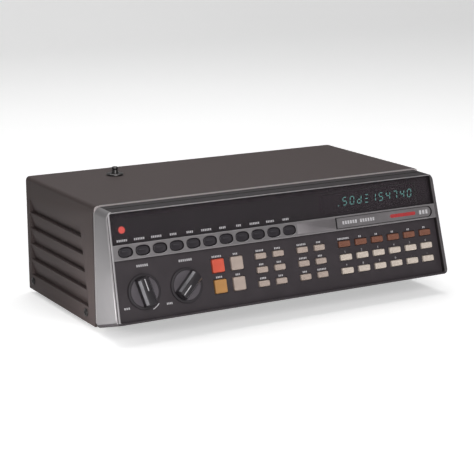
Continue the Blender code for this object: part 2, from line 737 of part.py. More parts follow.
# ---- Key board, with its switches, controls and lamp ----
def key_board():
    low = -BOARD_BACK - BOARD_THICKNESS
    bottom = FACE_LENGTH - CHIN_WALL - BOARD_INSET / 2
    board = block(
        "key_board",
        (-OPENING_HALF + BOARD_INSET, -bottom, low),
        (OPENING_HALF - BOARD_INSET, -BOARD_INSET / 2, -BOARD_BACK),
        BOARD_GREEN,
        FACE_FRAME,
    )
    root = low + BOARD_THICKNESS / 2
    spots = [(x, down) for _, x, down, _, _ in key_places()]
    spots += [(x, BAR_MIDDLE) for x in service_places()]
    fitted = []
    for x, down in spots:
        rings = [rectangle((SWITCH_SIZE, SWITCH_SIZE), height) for height in (root, SWITCH_TOP)]
        fitted.append(loft("switch", rings, frame=on_face(x, down)))
    bores = []
    for _, x, down, _ in knob_places():
        case = [(POT_RADIUS, root), (POT_RADIUS, -BOARD_BACK + POT_HEIGHT)]
        fitted.append(turned("control_case", case, ROUND_STEPS, frame=on_face(x, down)))
        bore = [(SHAFT_RADIUS + GAP, low - GAP), (SHAFT_RADIUS + GAP, -BOARD_BACK + POT_HEIGHT + GAP)]
        bores.append(turned("control_bore", bore, ROUND_STEPS, frame=on_face(x, down)))
    lamp = [(LED_RADIUS, root), (LED_RADIUS, -WINDOW_THICKNESS - GAP)]
    fitted.append(turned("lamp", lamp, SMALL_STEPS, frame=on_face(LED_LEFT - OPENING_HALF, LED_DOWN)))
    add(board, join_meshes(fitted))
    cut(board, join_meshes(bores))


# ---- Chassis and what stands on it ----
def jack_places():
    left = MAIN_BOARD_LEFT - HALF_WIDTH
    return [left + JACK_FIRST + i * JACK_PITCH for i in range(3)]


def jack_level():
    return FLOOR_TOP + MAIN_BOARD_LIFT + BOARD_THICKNESS + JACK_HEIGHT


def inlet_x():
    return HALF_WIDTH - MAIN_BOARD_RIGHT - INLET_FROM_RIGHT


def speaker_place():
    return (SPEAKER_LEFT - HALF_WIDTH, JUNCTION_Y + SPEAKER_BACK)


def chassis():
    half = HALF_WIDTH - COVER_WALL - GAP
    front = JUNCTION_Y + NECK_LENGTH + GAP
    tray = block("chassis", (-half, JUNCTION_Y, COVER_BOTTOM), (half, REAR_WALL_Y, FLOOR_TOP), ZINC_STEEL)
    top = COVER_TOP - COVER_WALL - GAP
    wall = arch_outline(half, top, FLOOR_TOP - SHEET / 2, COVER_RADIUS - COVER_WALL)
    rings = [[Vector((x, y, z)) for x, z in wall] for y in (REAR_WALL_Y - SHEET, REAR_WALL_Y)]
    pieces = [loft("rear_wall", rings)]
    flange_top = COVER_BOTTOM + LOUVRE_LOWEST - COVER_WALL - GAP
    for side in (-1, 1):
        edges = sorted((side * half, side * (half - SHEET)))
        low = (edges[0], front, FLOOR_TOP - SHEET / 2)
        high = (edges[1], REAR_WALL_Y - SHEET / 2, flange_top)
        pieces.append(block("side_flange", low, high))
    add(tray, *pieces)
    feet = []
    for x in (FOOT_INSET - HALF_WIDTH, HALF_WIDTH - FOOT_INSET):
        for y in (JUNCTION_Y + FOOT_INSET, REAR_WALL_Y - FOOT_INSET):
            profile = [
                (FOOT_RADIUS - KEY_CHAMFER, 0.0),
                (FOOT_RADIUS, KEY_CHAMFER),
                (FOOT_RADIUS, FLOOR_TOP - SHEET / 2),
            ]
            feet.append(turned("foot", profile, ROUND_STEPS, frame=at(x, y, 0)))
    add(tray, join_meshes(feet))
    holes = []
    for x in jack_places():
        radius = JACK_RADIUS + RUNNING_GAP
        frame = at(x, REAR_WALL_Y, jack_level()) @ Matrix.Rotation(math.pi / 2, 4, "X")
        profile = [(radius, -2 * SHEET), (radius, 2 * SHEET)]
        holes.append(turned("jack_hole", profile, ROUND_STEPS, frame=frame))
    wide, high = INLET_SIZE[0] / 2 + RUNNING_GAP, INLET_SIZE[1] / 2 + RUNNING_GAP
    holes.append(
        block(
            "inlet_hole",
            (inlet_x() - wide, REAR_WALL_Y - 2 * SHEET, jack_level() - high),
            (inlet_x() + wide, REAR_WALL_Y + SHEET, jack_level() + high),
        )
    )
    x, y = speaker_place()
    for index in range(SLOT_COUNT):
        offset = (index - (SLOT_COUNT - 1) / 2) * SLOT_PITCH
        span = math.sqrt((SPEAKER_RADIUS - SLOT_PITCH) ** 2 - offset**2)
        low = (x + offset - SLOT_WIDTH / 2, y - span, COVER_BOTTOM - SHEET)
        holes.append(block("sound_slot", low, (x + offset + SLOT_WIDTH / 2, y + span, FLOOR_TOP + SHEET)))
    cut(tray, join_meshes(holes))


def board_components(left, front, top):
    """What stands on the main board: tuner can, chips, cooling block and capacitors."""
    root = top - BOARD_THICKNESS / 2
    fitted = []
    for (x, y), (width, depth, height) in BOARD_BLOCKS:
        low = (left + x, front + y - depth / 2, root)
        fitted.append(block("component", low, (low[0] + width, low[1] + depth, top + height)))
    for (x, y), radius, height in CAPACITORS:
        profile = [(radius, root), (radius, top + height)]
        fitted.append(turned("capacitor", profile, CAPACITOR_STEPS, frame=at(left + x, front + y, 0)))
    return fitted


def main_board():
    left, right = MAIN_BOARD_LEFT - HALF_WIDTH, HALF_WIDTH - MAIN_BOARD_RIGHT
    front, rear = JUNCTION_Y + MAIN_BOARD_FRONT, REAR_WALL_Y - SHEET - MAIN_BOARD_REAR
    low = FLOOR_TOP + MAIN_BOARD_LIFT
    top = low + BOARD_THICKNESS
    root = low + BOARD_THICKNESS / 2
    board = block("main_board", (left, front, low), (right, rear, top), BOARD_GREEN)
    fitted = board_components(left, front, top)
    inset = 3 * POST_RADIUS
    for x in (left + inset, right - inset):
        for y in (front + inset, rear - inset):
            profile = [(POST_RADIUS, FLOOR_TOP + GAP), (POST_RADIUS, root)]
            fitted.append(turned("post", profile, SMALL_STEPS, frame=at(x, y, 0)))
    tip = REAR_WALL_Y + JACK_PROUD
    inside = REAR_WALL_Y - SHEET - GAP
    level = jack_level()
    barrels, bores = [], []
    for x in jack_places():
        half = JACK_RADIUS + JACK_SHELL
        fitted.append(
            block("jack_body", (x - half, rear - JACK_DEPTH, root), (x + half, inside, level + half))
        )
        frame = at(x, tip, level) @ Matrix.Rotation(math.pi / 2, 4, "X")
        barrel = [(JACK_RADIUS, 0.0), (JACK_RADIUS, JACK_BARREL)]
        barrels.append(turned("barrel", barrel, ROUND_STEPS, frame=frame))
        bore = [(JACK_BORE, -PAST), (JACK_BORE, JACK_BARREL - PAST)]
        bores.append(turned("jack_bore", bore, CAPACITOR_STEPS, frame=frame))
    x, wide, high = inlet_x(), INLET_SIZE[0] / 2, INLET_SIZE[1] / 2
    fitted.append(block("inlet_foot", (x - wide, rear - JACK_DEPTH, root), (x + wide, inside, level)))
    barrels.append(
        block("inlet_shell", (x - wide, rear - JACK_DEPTH, level - high), (x + wide, tip, level + high))
    )
    width, height, depth = INLET_BORE
    bores.append(
        block(
            "inlet_bore",
            (x - width / 2, tip - depth, level - height / 2),
            (x + width / 2, tip + PAST, level + height / 2),
        )
    )
    add(board, join_meshes(fitted))
    add(board, join_meshes(barrels))
    cut(board, join_meshes(bores))


def speaker():
    x, y = speaker_place()
    rim = SPEAKER_RADIUS
    profile = [
        CONE_THROAT,
        (rim - SPEAKER_RIM, SPEAKER_DISH),
        (rim - SPEAKER_RIM, 0.0),
        (rim, 0.0),
        (rim, SPEAKER_FLANGE),
        (rim - SPEAKER_RIM / 2, SPEAKER_FLANGE),
        SPEAKER_NECK,
        (MAGNET_RADIUS, SPEAKER_NECK[1]),
        (MAGNET_RADIUS, MAGNET_TOP),
        (CONE_THROAT[0], MAGNET_TOP),
    ]
    turned("speaker", profile, SPEAKER_STEPS, SPEAKER_BLACK, at(x, y, FLOOR_TOP + GAP))


def power_transformer():
    width, depth, height = TRANSFORMER_SIZE
    frame = at(TRANSFORMER_LEFT - HALF_WIDTH, REAR_WALL_Y - TRANSFORMER_REAR, FLOOR_TOP + GAP)
    core = loft(
        "power_transformer", [rectangle((width, depth * CORE_SHARE), z) for z in (0.0, height)], IRON, frame
    )
    side, end = COIL_INSET
    coil = [rectangle((width - 2 * side, depth), z) for z in (end, height - end)]
    strap = [rectangle((width - 2 * STRAP_INSET, depth * STRAP_SHARE), z) for z in (0.0, SHEET)]
    add(core, loft("coil", coil, frame=frame), loft("strap", strap, frame=frame))


# ---- Antenna ----
def antenna():
    frame = at(ANTENNA_LEFT - HALF_WIDTH, REAR_Y - ANTENNA_REAR, 0)
    bore = MAST_RADIUS + RUNNING_GAP
    sleeve = bore + SLEEVE_WALL
    sleeve_end = COVER_TOP - SLEEVE_LENGTH
    profile = [
        (bore, sleeve_end),
        (sleeve, sleeve_end),
        (sleeve, COVER_TOP + GAP),
        (COLLAR_RADIUS, COVER_TOP + GAP),
        (COLLAR_RADIUS, COVER_TOP + COLLAR_HEIGHT - 2 * KEY_CHAMFER),
        (COLLAR_RADIUS - 2 * KEY_CHAMFER, COVER_TOP + COLLAR_HEIGHT),
        (bore, COVER_TOP + COLLAR_HEIGHT),
    ]
    turned("antenna_socket", profile, ROUND_STEPS, CHROME, frame, closed=True)
    foot = FLOOR_TOP + MAST_CLEAR
    head = COVER_TOP + MAST_TOP
    profile = [
        (MAST_BORE, foot),
        (STOP_RADIUS, foot),
        (STOP_RADIUS, foot + STOP_HEIGHT),
        (MAST_RADIUS, foot + STOP_HEIGHT),
        (MAST_RADIUS, head),
        (MAST_BORE, head),
    ]
    turned("antenna_mast", profile, ROUND_STEPS, CHROME, frame, closed=True)
    profile = [
        (ROD_RADIUS, foot + STOP_HEIGHT),
        (ROD_RADIUS, head + GAP),
        (MAST_RADIUS, head + GAP),
        (MAST_RADIUS, head + GAP + TIP_HEIGHT - 2 * KEY_CHAMFER),
        (MAST_RADIUS - 2 * KEY_CHAMFER, head + GAP + TIP_HEIGHT),
    ]
    turned("antenna_tip", profile, ROUND_STEPS, CHROME, frame)


clear_scene()
cabinet_cover()
chassis()
front_bezel()
display_window()
face_panel()
display_tube()
key_board()
main_board()
power_transformer()
speaker()
antenna()
knobs()
keys()
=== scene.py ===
"""Looks of a desktop police scanner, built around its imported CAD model.

Lengths are in metres. Face parts are drawn in the face frame: x to the right, y up the leaning
face, z straight out of it, with its origin on the window's top line.
"""

import json
import random
from math import copysign, cos, hypot, pi, radians, sin

import bmesh
import bpy
from mathutils import Matrix, Vector

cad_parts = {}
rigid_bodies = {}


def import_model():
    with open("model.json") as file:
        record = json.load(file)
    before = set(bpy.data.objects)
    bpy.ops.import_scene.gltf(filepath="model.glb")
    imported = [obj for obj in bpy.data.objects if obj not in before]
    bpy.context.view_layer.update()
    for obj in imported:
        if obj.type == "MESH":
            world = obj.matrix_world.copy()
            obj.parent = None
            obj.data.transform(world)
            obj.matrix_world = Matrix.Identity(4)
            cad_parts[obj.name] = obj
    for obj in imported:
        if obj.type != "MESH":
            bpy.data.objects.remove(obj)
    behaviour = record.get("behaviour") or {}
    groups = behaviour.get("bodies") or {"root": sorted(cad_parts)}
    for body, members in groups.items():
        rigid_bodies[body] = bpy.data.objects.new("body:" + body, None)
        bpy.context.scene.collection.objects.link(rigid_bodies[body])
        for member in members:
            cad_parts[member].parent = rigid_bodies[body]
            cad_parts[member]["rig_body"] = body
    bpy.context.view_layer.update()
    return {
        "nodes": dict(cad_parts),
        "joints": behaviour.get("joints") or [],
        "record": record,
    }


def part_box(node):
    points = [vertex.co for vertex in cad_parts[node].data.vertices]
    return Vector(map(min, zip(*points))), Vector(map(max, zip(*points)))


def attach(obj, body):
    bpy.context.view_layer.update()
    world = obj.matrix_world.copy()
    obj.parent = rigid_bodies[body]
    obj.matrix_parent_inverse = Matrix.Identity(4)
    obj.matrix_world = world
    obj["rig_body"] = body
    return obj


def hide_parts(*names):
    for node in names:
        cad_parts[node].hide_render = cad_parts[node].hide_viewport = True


MM = 0.001

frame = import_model()

# ---- Sizes that the frame's boxes don't give ----
RIM_WIDTH = 2.7 * MM
RIM_PROUD = 3.5 * MM
RIM_ROUND = 0.7 * MM
VISOR_LIP = 1.3 * MM
VISOR_DROP = 0.8 * MM
CHIN_WALL = 1.5 * MM
CORNER_TOP = 5.0 * MM
CORNER_BOTTOM = 3.5 * MM
INNER_RADIUS = 1.2 * MM
NECK_LENGTH = 8.0 * MM
NECK_INSET = 1.9 * MM
NECK_WALL = 2.2 * MM
NECK_CORNER = 1.1 * MM
AIR = 0.3 * MM
BAR_PROUD = 3.2 * MM
BAR_BACK = 0.5 * MM
BAR_ROUND = 0.5 * MM
KEY_FLANGE = 1.0 * MM
KEY_CLEARANCE = 0.4 * MM
POCKET_LEFT = 43.8 * MM
POCKET_HEIGHT = 8.2 * MM
POCKET_DEPTH = 0.8 * MM
POCKET_END = 2.2 * MM
VISOR_GROOVE_BACK = 8.0 * MM
VISOR_GROOVE = 1.2 * MM
CORNER_STEPS = 10
ROUND_STEPS = 64
TAB_STEPS = 24
# A face within this much of the cover's top counts as the top.
TOP_BAND = 2.5 * MM
PRINT_TOP = 0.03 * MM
PRINT_DEPTH = 0.05 * MM
VOLUME_ANGLE = radians(-13.3)
SQUELCH_ANGLE = radians(-133.7)
SERVICE_SQUARENESS = 2.6
SILVER_CORNER = 4.2 * MM
LAMP_LEFT = 10.1 * MM
LAMP_DOWN = 11.4 * MM
JACK_LEFT = 105.0 * MM
JACK_STEP = 24.0 * MM
JACK_HEIGHT = 24.6 * MM
JACK_COUNT = 3
ANTENNA_RADIUS = 2.4 * MM
# Each of the window's two faces stops this share of the light.
WINDOW_ALPHA = 0.6

# Small margins for telling which plane a face lies in.
HAIR = 0.02 * MM
SLACK = 0.05 * MM

# ---- Places read from the frame ----
cover_low, cover_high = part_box("cabinet_cover")
HALF_WIDTH = cover_high.x
COVER_TOP = cover_high.z
COVER_BOTTOM = cover_low.z
JUNCTION_Y = cover_low.y
REAR_Y = cover_high.y
OPENING_HALF = HALF_WIDTH - RIM_WIDTH
CHEEK_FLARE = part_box("front_bezel")[1].x - HALF_WIDTH


def mm(*lengths):
    """Lengths in millimetres as metres."""
    return [length * MM for length in lengths]


def joint(name):
    return next(j for j in frame["joints"] if j["name"] == name)


def face_frame():
    out = -Vector(joint("volume_turn")["axis"]).normalized()
    right = Vector((1, 0, 0))
    turn = Matrix((right, out.cross(right), out)).transposed().to_4x4()
    points = [turn.inverted() @ v.co for v in frame["nodes"]["display_window"].data.vertices]
    top_line = max(p.y for p in points) + INNER_RADIUS
    return turn @ Matrix.Translation((0, top_line, max(p.z for p in points)))


FACE = face_frame()


def face_box(node):
    """(lowest corner, highest corner) of a CAD node in the face frame."""
    points = [FACE.inverted() @ v.co for v in frame["nodes"][node].data.vertices]
    low = Vector([min(p[i] for p in points) for i in range(3)])
    high = Vector([max(p[i] for p in points) for i in range(3)])
    return low, high


BAR_TOP = -face_box("display_window")[0].y
panel_low, panel_high = face_box("face_panel")
BAR_BOTTOM = -panel_high.y
BAR_MIDDLE = (BAR_TOP + BAR_BOTTOM) / 2
FACE_LENGTH = -panel_low.y + CHIN_WALL + INNER_RADIUS
PANEL_BACK = panel_low.z


def at(x, y, z):
    return Matrix.Translation((x, y, z))


def on_face(x, down, out=0.0, turn=0.0):
    return FACE @ at(x, -down, out) @ Matrix.Rotation(-turn, 4, "Z")


# ---- Materials ----
def shade(color, factor):
    return tuple(min(1.0, c * factor) for c in color) + (1.0,)


def noise(tree, coords, scale, detail):
    """A noise texture in the object's own coordinates."""
    made = tree.nodes.new("ShaderNodeTexNoise")
    made.inputs["Scale"].default_value = scale
    made.inputs["Detail"].default_value = detail
    tree.links.new(coords.outputs["Object"], made.inputs["Vector"])
    return made


def run_between(tree, source, low, high, target):
    """Makes a socket run from low to high as the source goes from 0 to 1."""
    value = tree.nodes.new("ShaderNodeMapRange")
    value.inputs["To Min"].default_value = low
    value.inputs["To Max"].default_value = high
    tree.links.new(source, value.inputs["Value"])
    tree.links.new(value.outputs["Result"], target)


def finish(name, color, roughness, metallic=0.0, mottle=(90, 0.08), grain=(2500, 0.02), spread=0.06):
    """A Principled finish: slow colour mottle, fine grain in the bump, and uneven roughness.

    mottle is (noise scale, share of the colour), grain is (noise scale, bump depth in millimetres).
    """
    made = bpy.data.materials.new(name)
    made.use_nodes = True
    tree = made.node_tree
    shader = tree.nodes["Principled BSDF"]
    shader.inputs["Metallic"].default_value = metallic
    coords = tree.nodes.new("ShaderNodeTexCoord")
    slow = noise(tree, coords, mottle[0], 4.0)
    ramp = tree.nodes.new("ShaderNodeValToRGB")
    for end, position, side in ((0, 0.3, -1), (1, 0.7, 1)):
        ramp.color_ramp.elements[end].position = position
        ramp.color_ramp.elements[end].color = shade(color, 1 + side * mottle[1])
    tree.links.new(slow.outputs["Fac"], ramp.inputs["Fac"])
    tree.links.new(ramp.outputs["Color"], shader.inputs["Base Color"])
    low, high = max(0.02, roughness - spread), min(1.0, roughness + spread)
    run_between(tree, slow.outputs["Fac"], low, high, shader.inputs["Roughness"])
    fine = noise(tree, coords, grain[0], 3.0)
    bump = tree.nodes.new("ShaderNodeBump")
    bump.inputs["Strength"].default_value = 1.0
    bump.inputs["Distance"].default_value = grain[1] * MM
    tree.links.new(fine.outputs["Fac"], bump.inputs["Height"])
    tree.links.new(bump.outputs["Normal"], shader.inputs["Normal"])
    return made


def brushed(name, color, roughness, metallic, grain, stretch):
    """A metallic finish with its grain drawn out along x, as brushing does."""
    made = finish(name, color, roughness, metallic, grain=grain)
    nodes, links = made.node_tree.nodes, made.node_tree.links
    fine = nodes["Bump"].inputs["Height"].links[0].from_node
    coords = next(n for n in nodes if n.type == "TEX_COORD")
    mapping = nodes.new("ShaderNodeMapping")
    mapping.inputs["Scale"].default_value = (stretch, 1.0, 1.0)
    links.new(coords.outputs["Object"], mapping.inputs["Vector"])
    links.new(mapping.outputs["Vector"], fine.inputs["Vector"])
    return made


def key_plastic(name, color, unevenness=0.05):
    return finish(name, color, 0.42, mottle=(200, unevenness), grain=(2800, 0.012))


def glowing(made, color, strength):
    """Adds a finish's own light."""
    shader = made.node_tree.nodes["Principled BSDF"]
    shader.inputs["Emission Color"].default_value = (*color, 1.0)
    shader.inputs["Emission Strength"].default_value = strength
    return made


def smoked_window():
    """Dark acrylic that lets part of the light through."""
    made = finish("smoked_acrylic", (0.062, 0.050, 0.058), 0.14, 0.0, (40, 0.05), (60, 0.002), 0.03)
    shader = made.node_tree.nodes["Principled BSDF"]
    shader.inputs["Alpha"].default_value = WINDOW_ALPHA
    return made


COVER_PAINT = finish("cover_paint", (0.060, 0.042, 0.040), 0.6, grain=(1800, 0.05), mottle=(800, 0.14))
# Pale colour on the cover's rounded front edge: a painted highlight.
COVER_LIP_HIGHLIGHT = finish("cover_lip_highlight", (0.62, 0.56, 0.56), 0.4)
SILVER = finish("silver_paint", (0.245, 0.235, 0.24), 0.42, 0.2, (60, 0.05), (3200, 0.012))
VISOR = finish("visor_plastic", (0.020, 0.015, 0.017), 0.62, grain=(2200, 0.03))
PANEL = finish("panel_plastic", (0.049, 0.039, 0.045), 0.45, grain=(2600, 0.015))
BAR = brushed("bar_silver", (0.33, 0.31, 0.32), 0.36, 0.55, (700, 0.012), 0.04)
# A lighter copy of the silver for rounded rim, bar and bead edges: real silver trim, lightened as a painted
# highlight.
SILVER_EDGE_HIGHLIGHT = finish("silver_edge_painted_highlight", (0.40, 0.38, 0.39), 0.36, 0.4, grain=(3200, 0.01))
INLAY = brushed("inlay_foil", (0.31, 0.29, 0.30), 0.34, 0.5, (900, 0.01), 0.03)
BLANK_INLAY = brushed("blank_inlay_foil", (0.26, 0.24, 0.25), 0.38, 0.5, (900, 0.01), 0.03)
# Bright silver for the left side of the opening's bead only: a painted highlight.
LEFT_BEAD_HIGHLIGHT = finish("left_bead_painted_highlight", (0.50, 0.48, 0.49), 0.36, 0.2, grain=(3200, 0.01))
# Dark grey for the silver rim's flat front face and the right side of the opening's bead: painted shade.
RIM_PAINTED_SHADE = finish("rim_painted_shade_grey", (0.12, 0.11, 0.115), 0.42, 0.2, grain=(3200, 0.01))
WINDOW = smoked_window()
INK = finish("white_ink", (0.66, 0.64, 0.66), 0.6, mottle=(900, 0.12), grain=(4000, 0.004))
RED_INK = finish("red_ink", (0.52, 0.045, 0.05), 0.5, mottle=(900, 0.10), grain=(4000, 0.004))
BLACK = finish("black_plastic", (0.014, 0.012, 0.014), 0.4, grain=(2400, 0.02))
SERVICE = finish("service_key_plastic", (0.031, 0.026, 0.032), 0.36, grain=(2600, 0.012))
# The service keys' ridges are real; their lighter plastic is a painted highlight.
SERVICE_RIDGE_HIGHLIGHT = finish("service_ridge_highlight_plastic", (0.045, 0.040, 0.048), 0.36, grain=(2600, 0.012))
ORANGE = key_plastic("orange_key_plastic", (0.84, 0.13, 0.075))
AMBER = key_plastic("amber_key_plastic", (0.60, 0.30, 0.10))
CREAM = key_plastic("cream_key_plastic", (0.57, 0.46, 0.40))
PALE_CREAM = key_plastic("pale_cream_plastic", (0.80, 0.69, 0.60))
BROWN = key_plastic("brown_key_plastic", (0.27, 0.11, 0.07), 0.06)
KNOB_SKIRT = finish("knob_skirt_plastic", (0.034, 0.028, 0.033), 0.58, grain=(2600, 0.012))
# Light metallic grey on the grips' sloping sides: a painted highlight.
KNOB_SIDE_HIGHLIGHT = finish("knob_side_painted_highlight", (0.38, 0.37, 0.39), 0.3, 0.9, grain=(2600, 0.012))
KNOB_DISC = finish("knob_disc_grey", (0.14, 0.125, 0.14), 0.4, 0.2, grain=(2600, 0.012))
KNOB_GRIP = finish("knob_grip_plastic", (0.030, 0.026, 0.030), 0.36, grain=(2600, 0.012))
DARK_NICKEL = finish("dark_nickel", (0.10, 0.095, 0.095), 0.3, 0.9, (300, 0.05), (1200, 0.004))
ZINC = finish("zinc_steel", (0.50, 0.49, 0.46), 0.38, 0.95, mottle=(90, 0.05), grain=(500, 0.01))
RUBBER = finish("foot_rubber", (0.018, 0.018, 0.018), 0.75, grain=(1500, 0.05))
SCREW = finish("black_screw", (0.03, 0.028, 0.028), 0.35, 0.6, grain=(1200, 0.01))
BOARD = finish("board_green", (0.025, 0.115, 0.05), 0.42, mottle=(700, 0.35), grain=(900, 0.03))
TIN = finish("tin_can", (0.58, 0.57, 0.55), 0.3, 1.0, mottle=(200, 0.08), grain=(600, 0.01))
CHIP = finish("chip_epoxy", (0.022, 0.022, 0.024), 0.55, grain=(2600, 0.02))
SLEEVE_BLUE = finish("capacitor_sleeve", (0.025, 0.05, 0.13), 0.35, grain=(1600, 0.01))
IRON = finish("transformer_iron", (0.13, 0.12, 0.115), 0.5, 0.8, (300, 0.15), (700, 0.05))
TAPE = finish("coil_tape", (0.42, 0.26, 0.06), 0.4, mottle=(300, 0.1), grain=(900, 0.02))
CONE = finish("speaker_cone", (0.022, 0.020, 0.020), 0.85, mottle=(900, 0.25), grain=(1300, 0.08))
DIGIT = glowing(finish("display_digit", (0.10, 0.35, 0.33), 0.5), (0.36, 1.0, 0.92), 1.9)
TUBE = finish("display_glass", (0.012, 0.018, 0.018), 0.1, mottle=(80, 0.2), grain=(60, 0.002))
LAMP = glowing(finish("lamp_red", (0.75, 0.06, 0.04), 0.3), (1.0, 0.13, 0.10), 3.6)


# ---- Making pieces ----
def smooth(mesh, angle):
    """Smooth faces, with sharp edges from an angle in degrees."""
    mesh.shade_smooth()
    mesh.set_sharp_from_angle(angle=radians(angle))


class Shape:
    """Points and faces gathered for one piece, each face with its material's index."""

    def __init__(self):
        self.points = []
        self.faces = []
        self.indices = []

    def add(self, points, faces, index=0, place=None):
        start = len(self.points)
        place = place or Matrix.Identity(4)
        self.points += [place @ Vector(p) for p in points]
        self.faces += [tuple(start + i for i in face) for face in faces]
        self.indices += [index] * len(faces)

    def loft(self, rings, index=0, place=None, closed=False):
        """Joins rings of equal length, with capped ends unless the last ring meets the first."""
        count, levels = len(rings[0]), len(rings)
        faces = []
        for level in range(levels if closed else levels - 1):
            low, high = level * count, (level + 1) % levels * count
            for i in range(count):
                j = (i + 1) % count
                faces.append((low + i, low + j, high + j, high + i))
        if not closed:
            faces.append(tuple(reversed(range(count))))
            faces.append(tuple(range((levels - 1) * count, levels * count)))
        self.add([p for ring in rings for p in ring], faces, index, place)

    def mesh(self, name, materials, angle=35):
        mesh = bpy.data.meshes.new(name)
        mesh.from_pydata([tuple(p) for p in self.points], [], self.faces)
        for material in materials:
            mesh.materials.append(material)
        mesh.polygons.foreach_set("material_index", self.indices)
        work = bmesh.new()
        work.from_mesh(mesh)
        bmesh.ops.recalc_face_normals(work, faces=work.faces)
        work.to_mesh(mesh)
        work.free()
        smooth(mesh, angle)
        return mesh


def new_object(name, data):
    """An object linked to the scene."""
    obj = bpy.data.objects.new(name, data)
    bpy.context.scene.collection.objects.link(obj)
    return obj


def place_mesh(name, mesh, body, place=None, replaces=()):
    obj = new_object(name, mesh)
    obj.matrix_world = place or Matrix.Identity(4)
    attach(obj, body)
    if replaces:
        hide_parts(*replaces)
    return obj


def place_shape(name, shape, materials, place=None, body="cabinet", replaces=()):
    """Makes a shape's mesh and places it as a piece of the same name."""
    return place_mesh(name, shape.mesh(name, materials), body, place, replaces)


def soften(obj, width):
    """Rounds an object's sharp edges."""
    bevel = obj.modifiers.new("soft_edges", "BEVEL")
    bevel.width = width
    bevel.segments = 2
    bevel.limit_method = "ANGLE"
    bevel.angle_limit = radians(40)
    bevel.harden_normals = True


def boolean(obj, shape, materials, operation="DIFFERENCE"):
    """Cuts a shape out of an object, or joins it on, and keeps the result as the object's mesh."""
    tool = new_object("tool", shape.mesh("tool", materials))
    modifier = obj.modifiers.new("tool", "BOOLEAN")
    modifier.operation = operation
    modifier.object = tool
    bpy.context.view_layer.update()
    graph = bpy.context.evaluated_depsgraph_get()
    obj.data = bpy.data.meshes.new_from_object(obj.evaluated_get(graph))
    obj.modifiers.clear()
    bpy.data.objects.remove(tool)


def arc(start, sweep, steps):
    """The angles of an arc's points, from its start to its end."""
    return [start + step * sweep / steps for step in range(steps + 1)]


def arc_points(x, y, radius, start, sweep, steps):
    """The points of an arc about (x, y)."""
    return [(x + radius * cos(a), y + radius * sin(a)) for a in arc(start, sweep, steps)]


def circle(radius, height, steps=ROUND_STEPS):
    return [Vector((*p, height)) for p in arc_points(0.0, 0.0, radius, 0.0, 2 * pi, steps)[:-1]]


def oval(width, height, level, steps=40):
    """A service key's outline: an oval with squarish ends."""
    power = 2 / SERVICE_SQUARENESS

    def squared(value):
        return copysign(abs(value) ** power / 2, value)

    return [Vector((squared(p.x) * width, squared(p.y) * height, level)) for p in circle(1.0, 0, steps)]


def rounded_box(width, height, radius, level, steps=4):
    """A rectangle with round corners at one level, anticlockwise."""
    least = 0.001 * MM
    radius = max(min(radius, width / 2 - least, height / 2 - least), least)
    points = []
    for corner in range(4):
        x = (width / 2 - radius) * (1 if corner in (0, 3) else -1)
        y = (height / 2 - radius) * (1 if corner in (0, 1) else -1)
        points += arc_points(x, y, radius, corner * pi / 2, pi / 2, steps)
    return [Vector((*p, level)) for p in points]


def tab_ring(left, middle, radius, level):
    """A tab's outline, square at the left and half round about middle at the right."""
    end = arc_points(middle, 0.0, radius, -pi / 2, pi, TAB_STEPS)
    return [Vector((*p, level)) for p in ((left, -radius), *end, (left, radius))]


def slab(shape, low, high, index=0, place=None, soft=0.0):
    """A box from one corner to another, with its upright corners rounded by soft."""
    middle = at((low[0] + high[0]) / 2, (low[1] + high[1]) / 2, 0)
    size = (high[0] - low[0], high[1] - low[1])
    steps = 3 if soft else 1
    rings = [[middle @ p for p in rounded_box(*size, soft, level, steps)] for level in (low[2], high[2])]
    shape.loft(rings, index, place)


def turned(shape, profile, index=0, place=None, closed=False, steps=ROUND_STEPS):
    """A round piece from a profile of (radius, height) points."""
    shape.loft([circle(r, z, steps) for r, z in profile], index, place, closed)


def let_edges_out(work, node, sides, bottom, top):
    """Moves a face plate's edges out to meet the opening it sits in."""
    low, high = face_box(node)
    for vert in work.verts:
        local = FACE.inverted() @ vert.co
        if abs(local.x) > flared_half(-local.y) - RIM_WIDTH - 2 * AIR:
            local.x += copysign(sides, local.x)
        if local.y < low.y + SLACK:
            local.y -= bottom
        if local.y > high.y - SLACK:
            local.y += top
        vert.co = FACE @ local


def refined(node, materials, choose=None, width=0.2 * MM, let_out=()):
    """A copy of a CAD node that stands for it, with softened edges and a material for each face.

    choose(centre) picks the material from the middle of a face. let_out is for let_edges_out.
    """
    source = frame["nodes"][node]
    work = bmesh.new()
    work.from_mesh(source.data)
    bmesh.ops.remove_doubles(work, verts=work.verts, dist=0.001 * MM)
    bmesh.ops.dissolve_limit(work, angle_limit=radians(0.5), verts=work.verts, edges=work.edges)
    for face in work.faces:
        face.material_index = materials.index(choose(face.calc_center_median())) if choose else 0
    if let_out:
        let_edges_out(work, node, *let_out)
    mesh = bpy.data.meshes.new(node + "_skin")
    work.to_mesh(mesh)
    work.free()
    for material in materials:
        mesh.materials.append(material)
    smooth(mesh, 30)
    obj = place_mesh(node + "_skin", mesh, source["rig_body"], None, [node])
    if width:
        soften(obj, width)


# ---- Cabinet ----
def cabinet_cover():
    def choose(centre):
        # Top faces at the cover's front edge take the pale colour: a painted highlight.
        on_top = centre.z > COVER_TOP - TOP_BAND
        return COVER_LIP_HIGHLIGHT if on_top and centre.y < JUNCTION_Y + HAIR else COVER_PAINT

    refined("cabinet_cover", [COVER_PAINT, COVER_LIP_HIGHLIGHT], choose, 0.3 * MM)


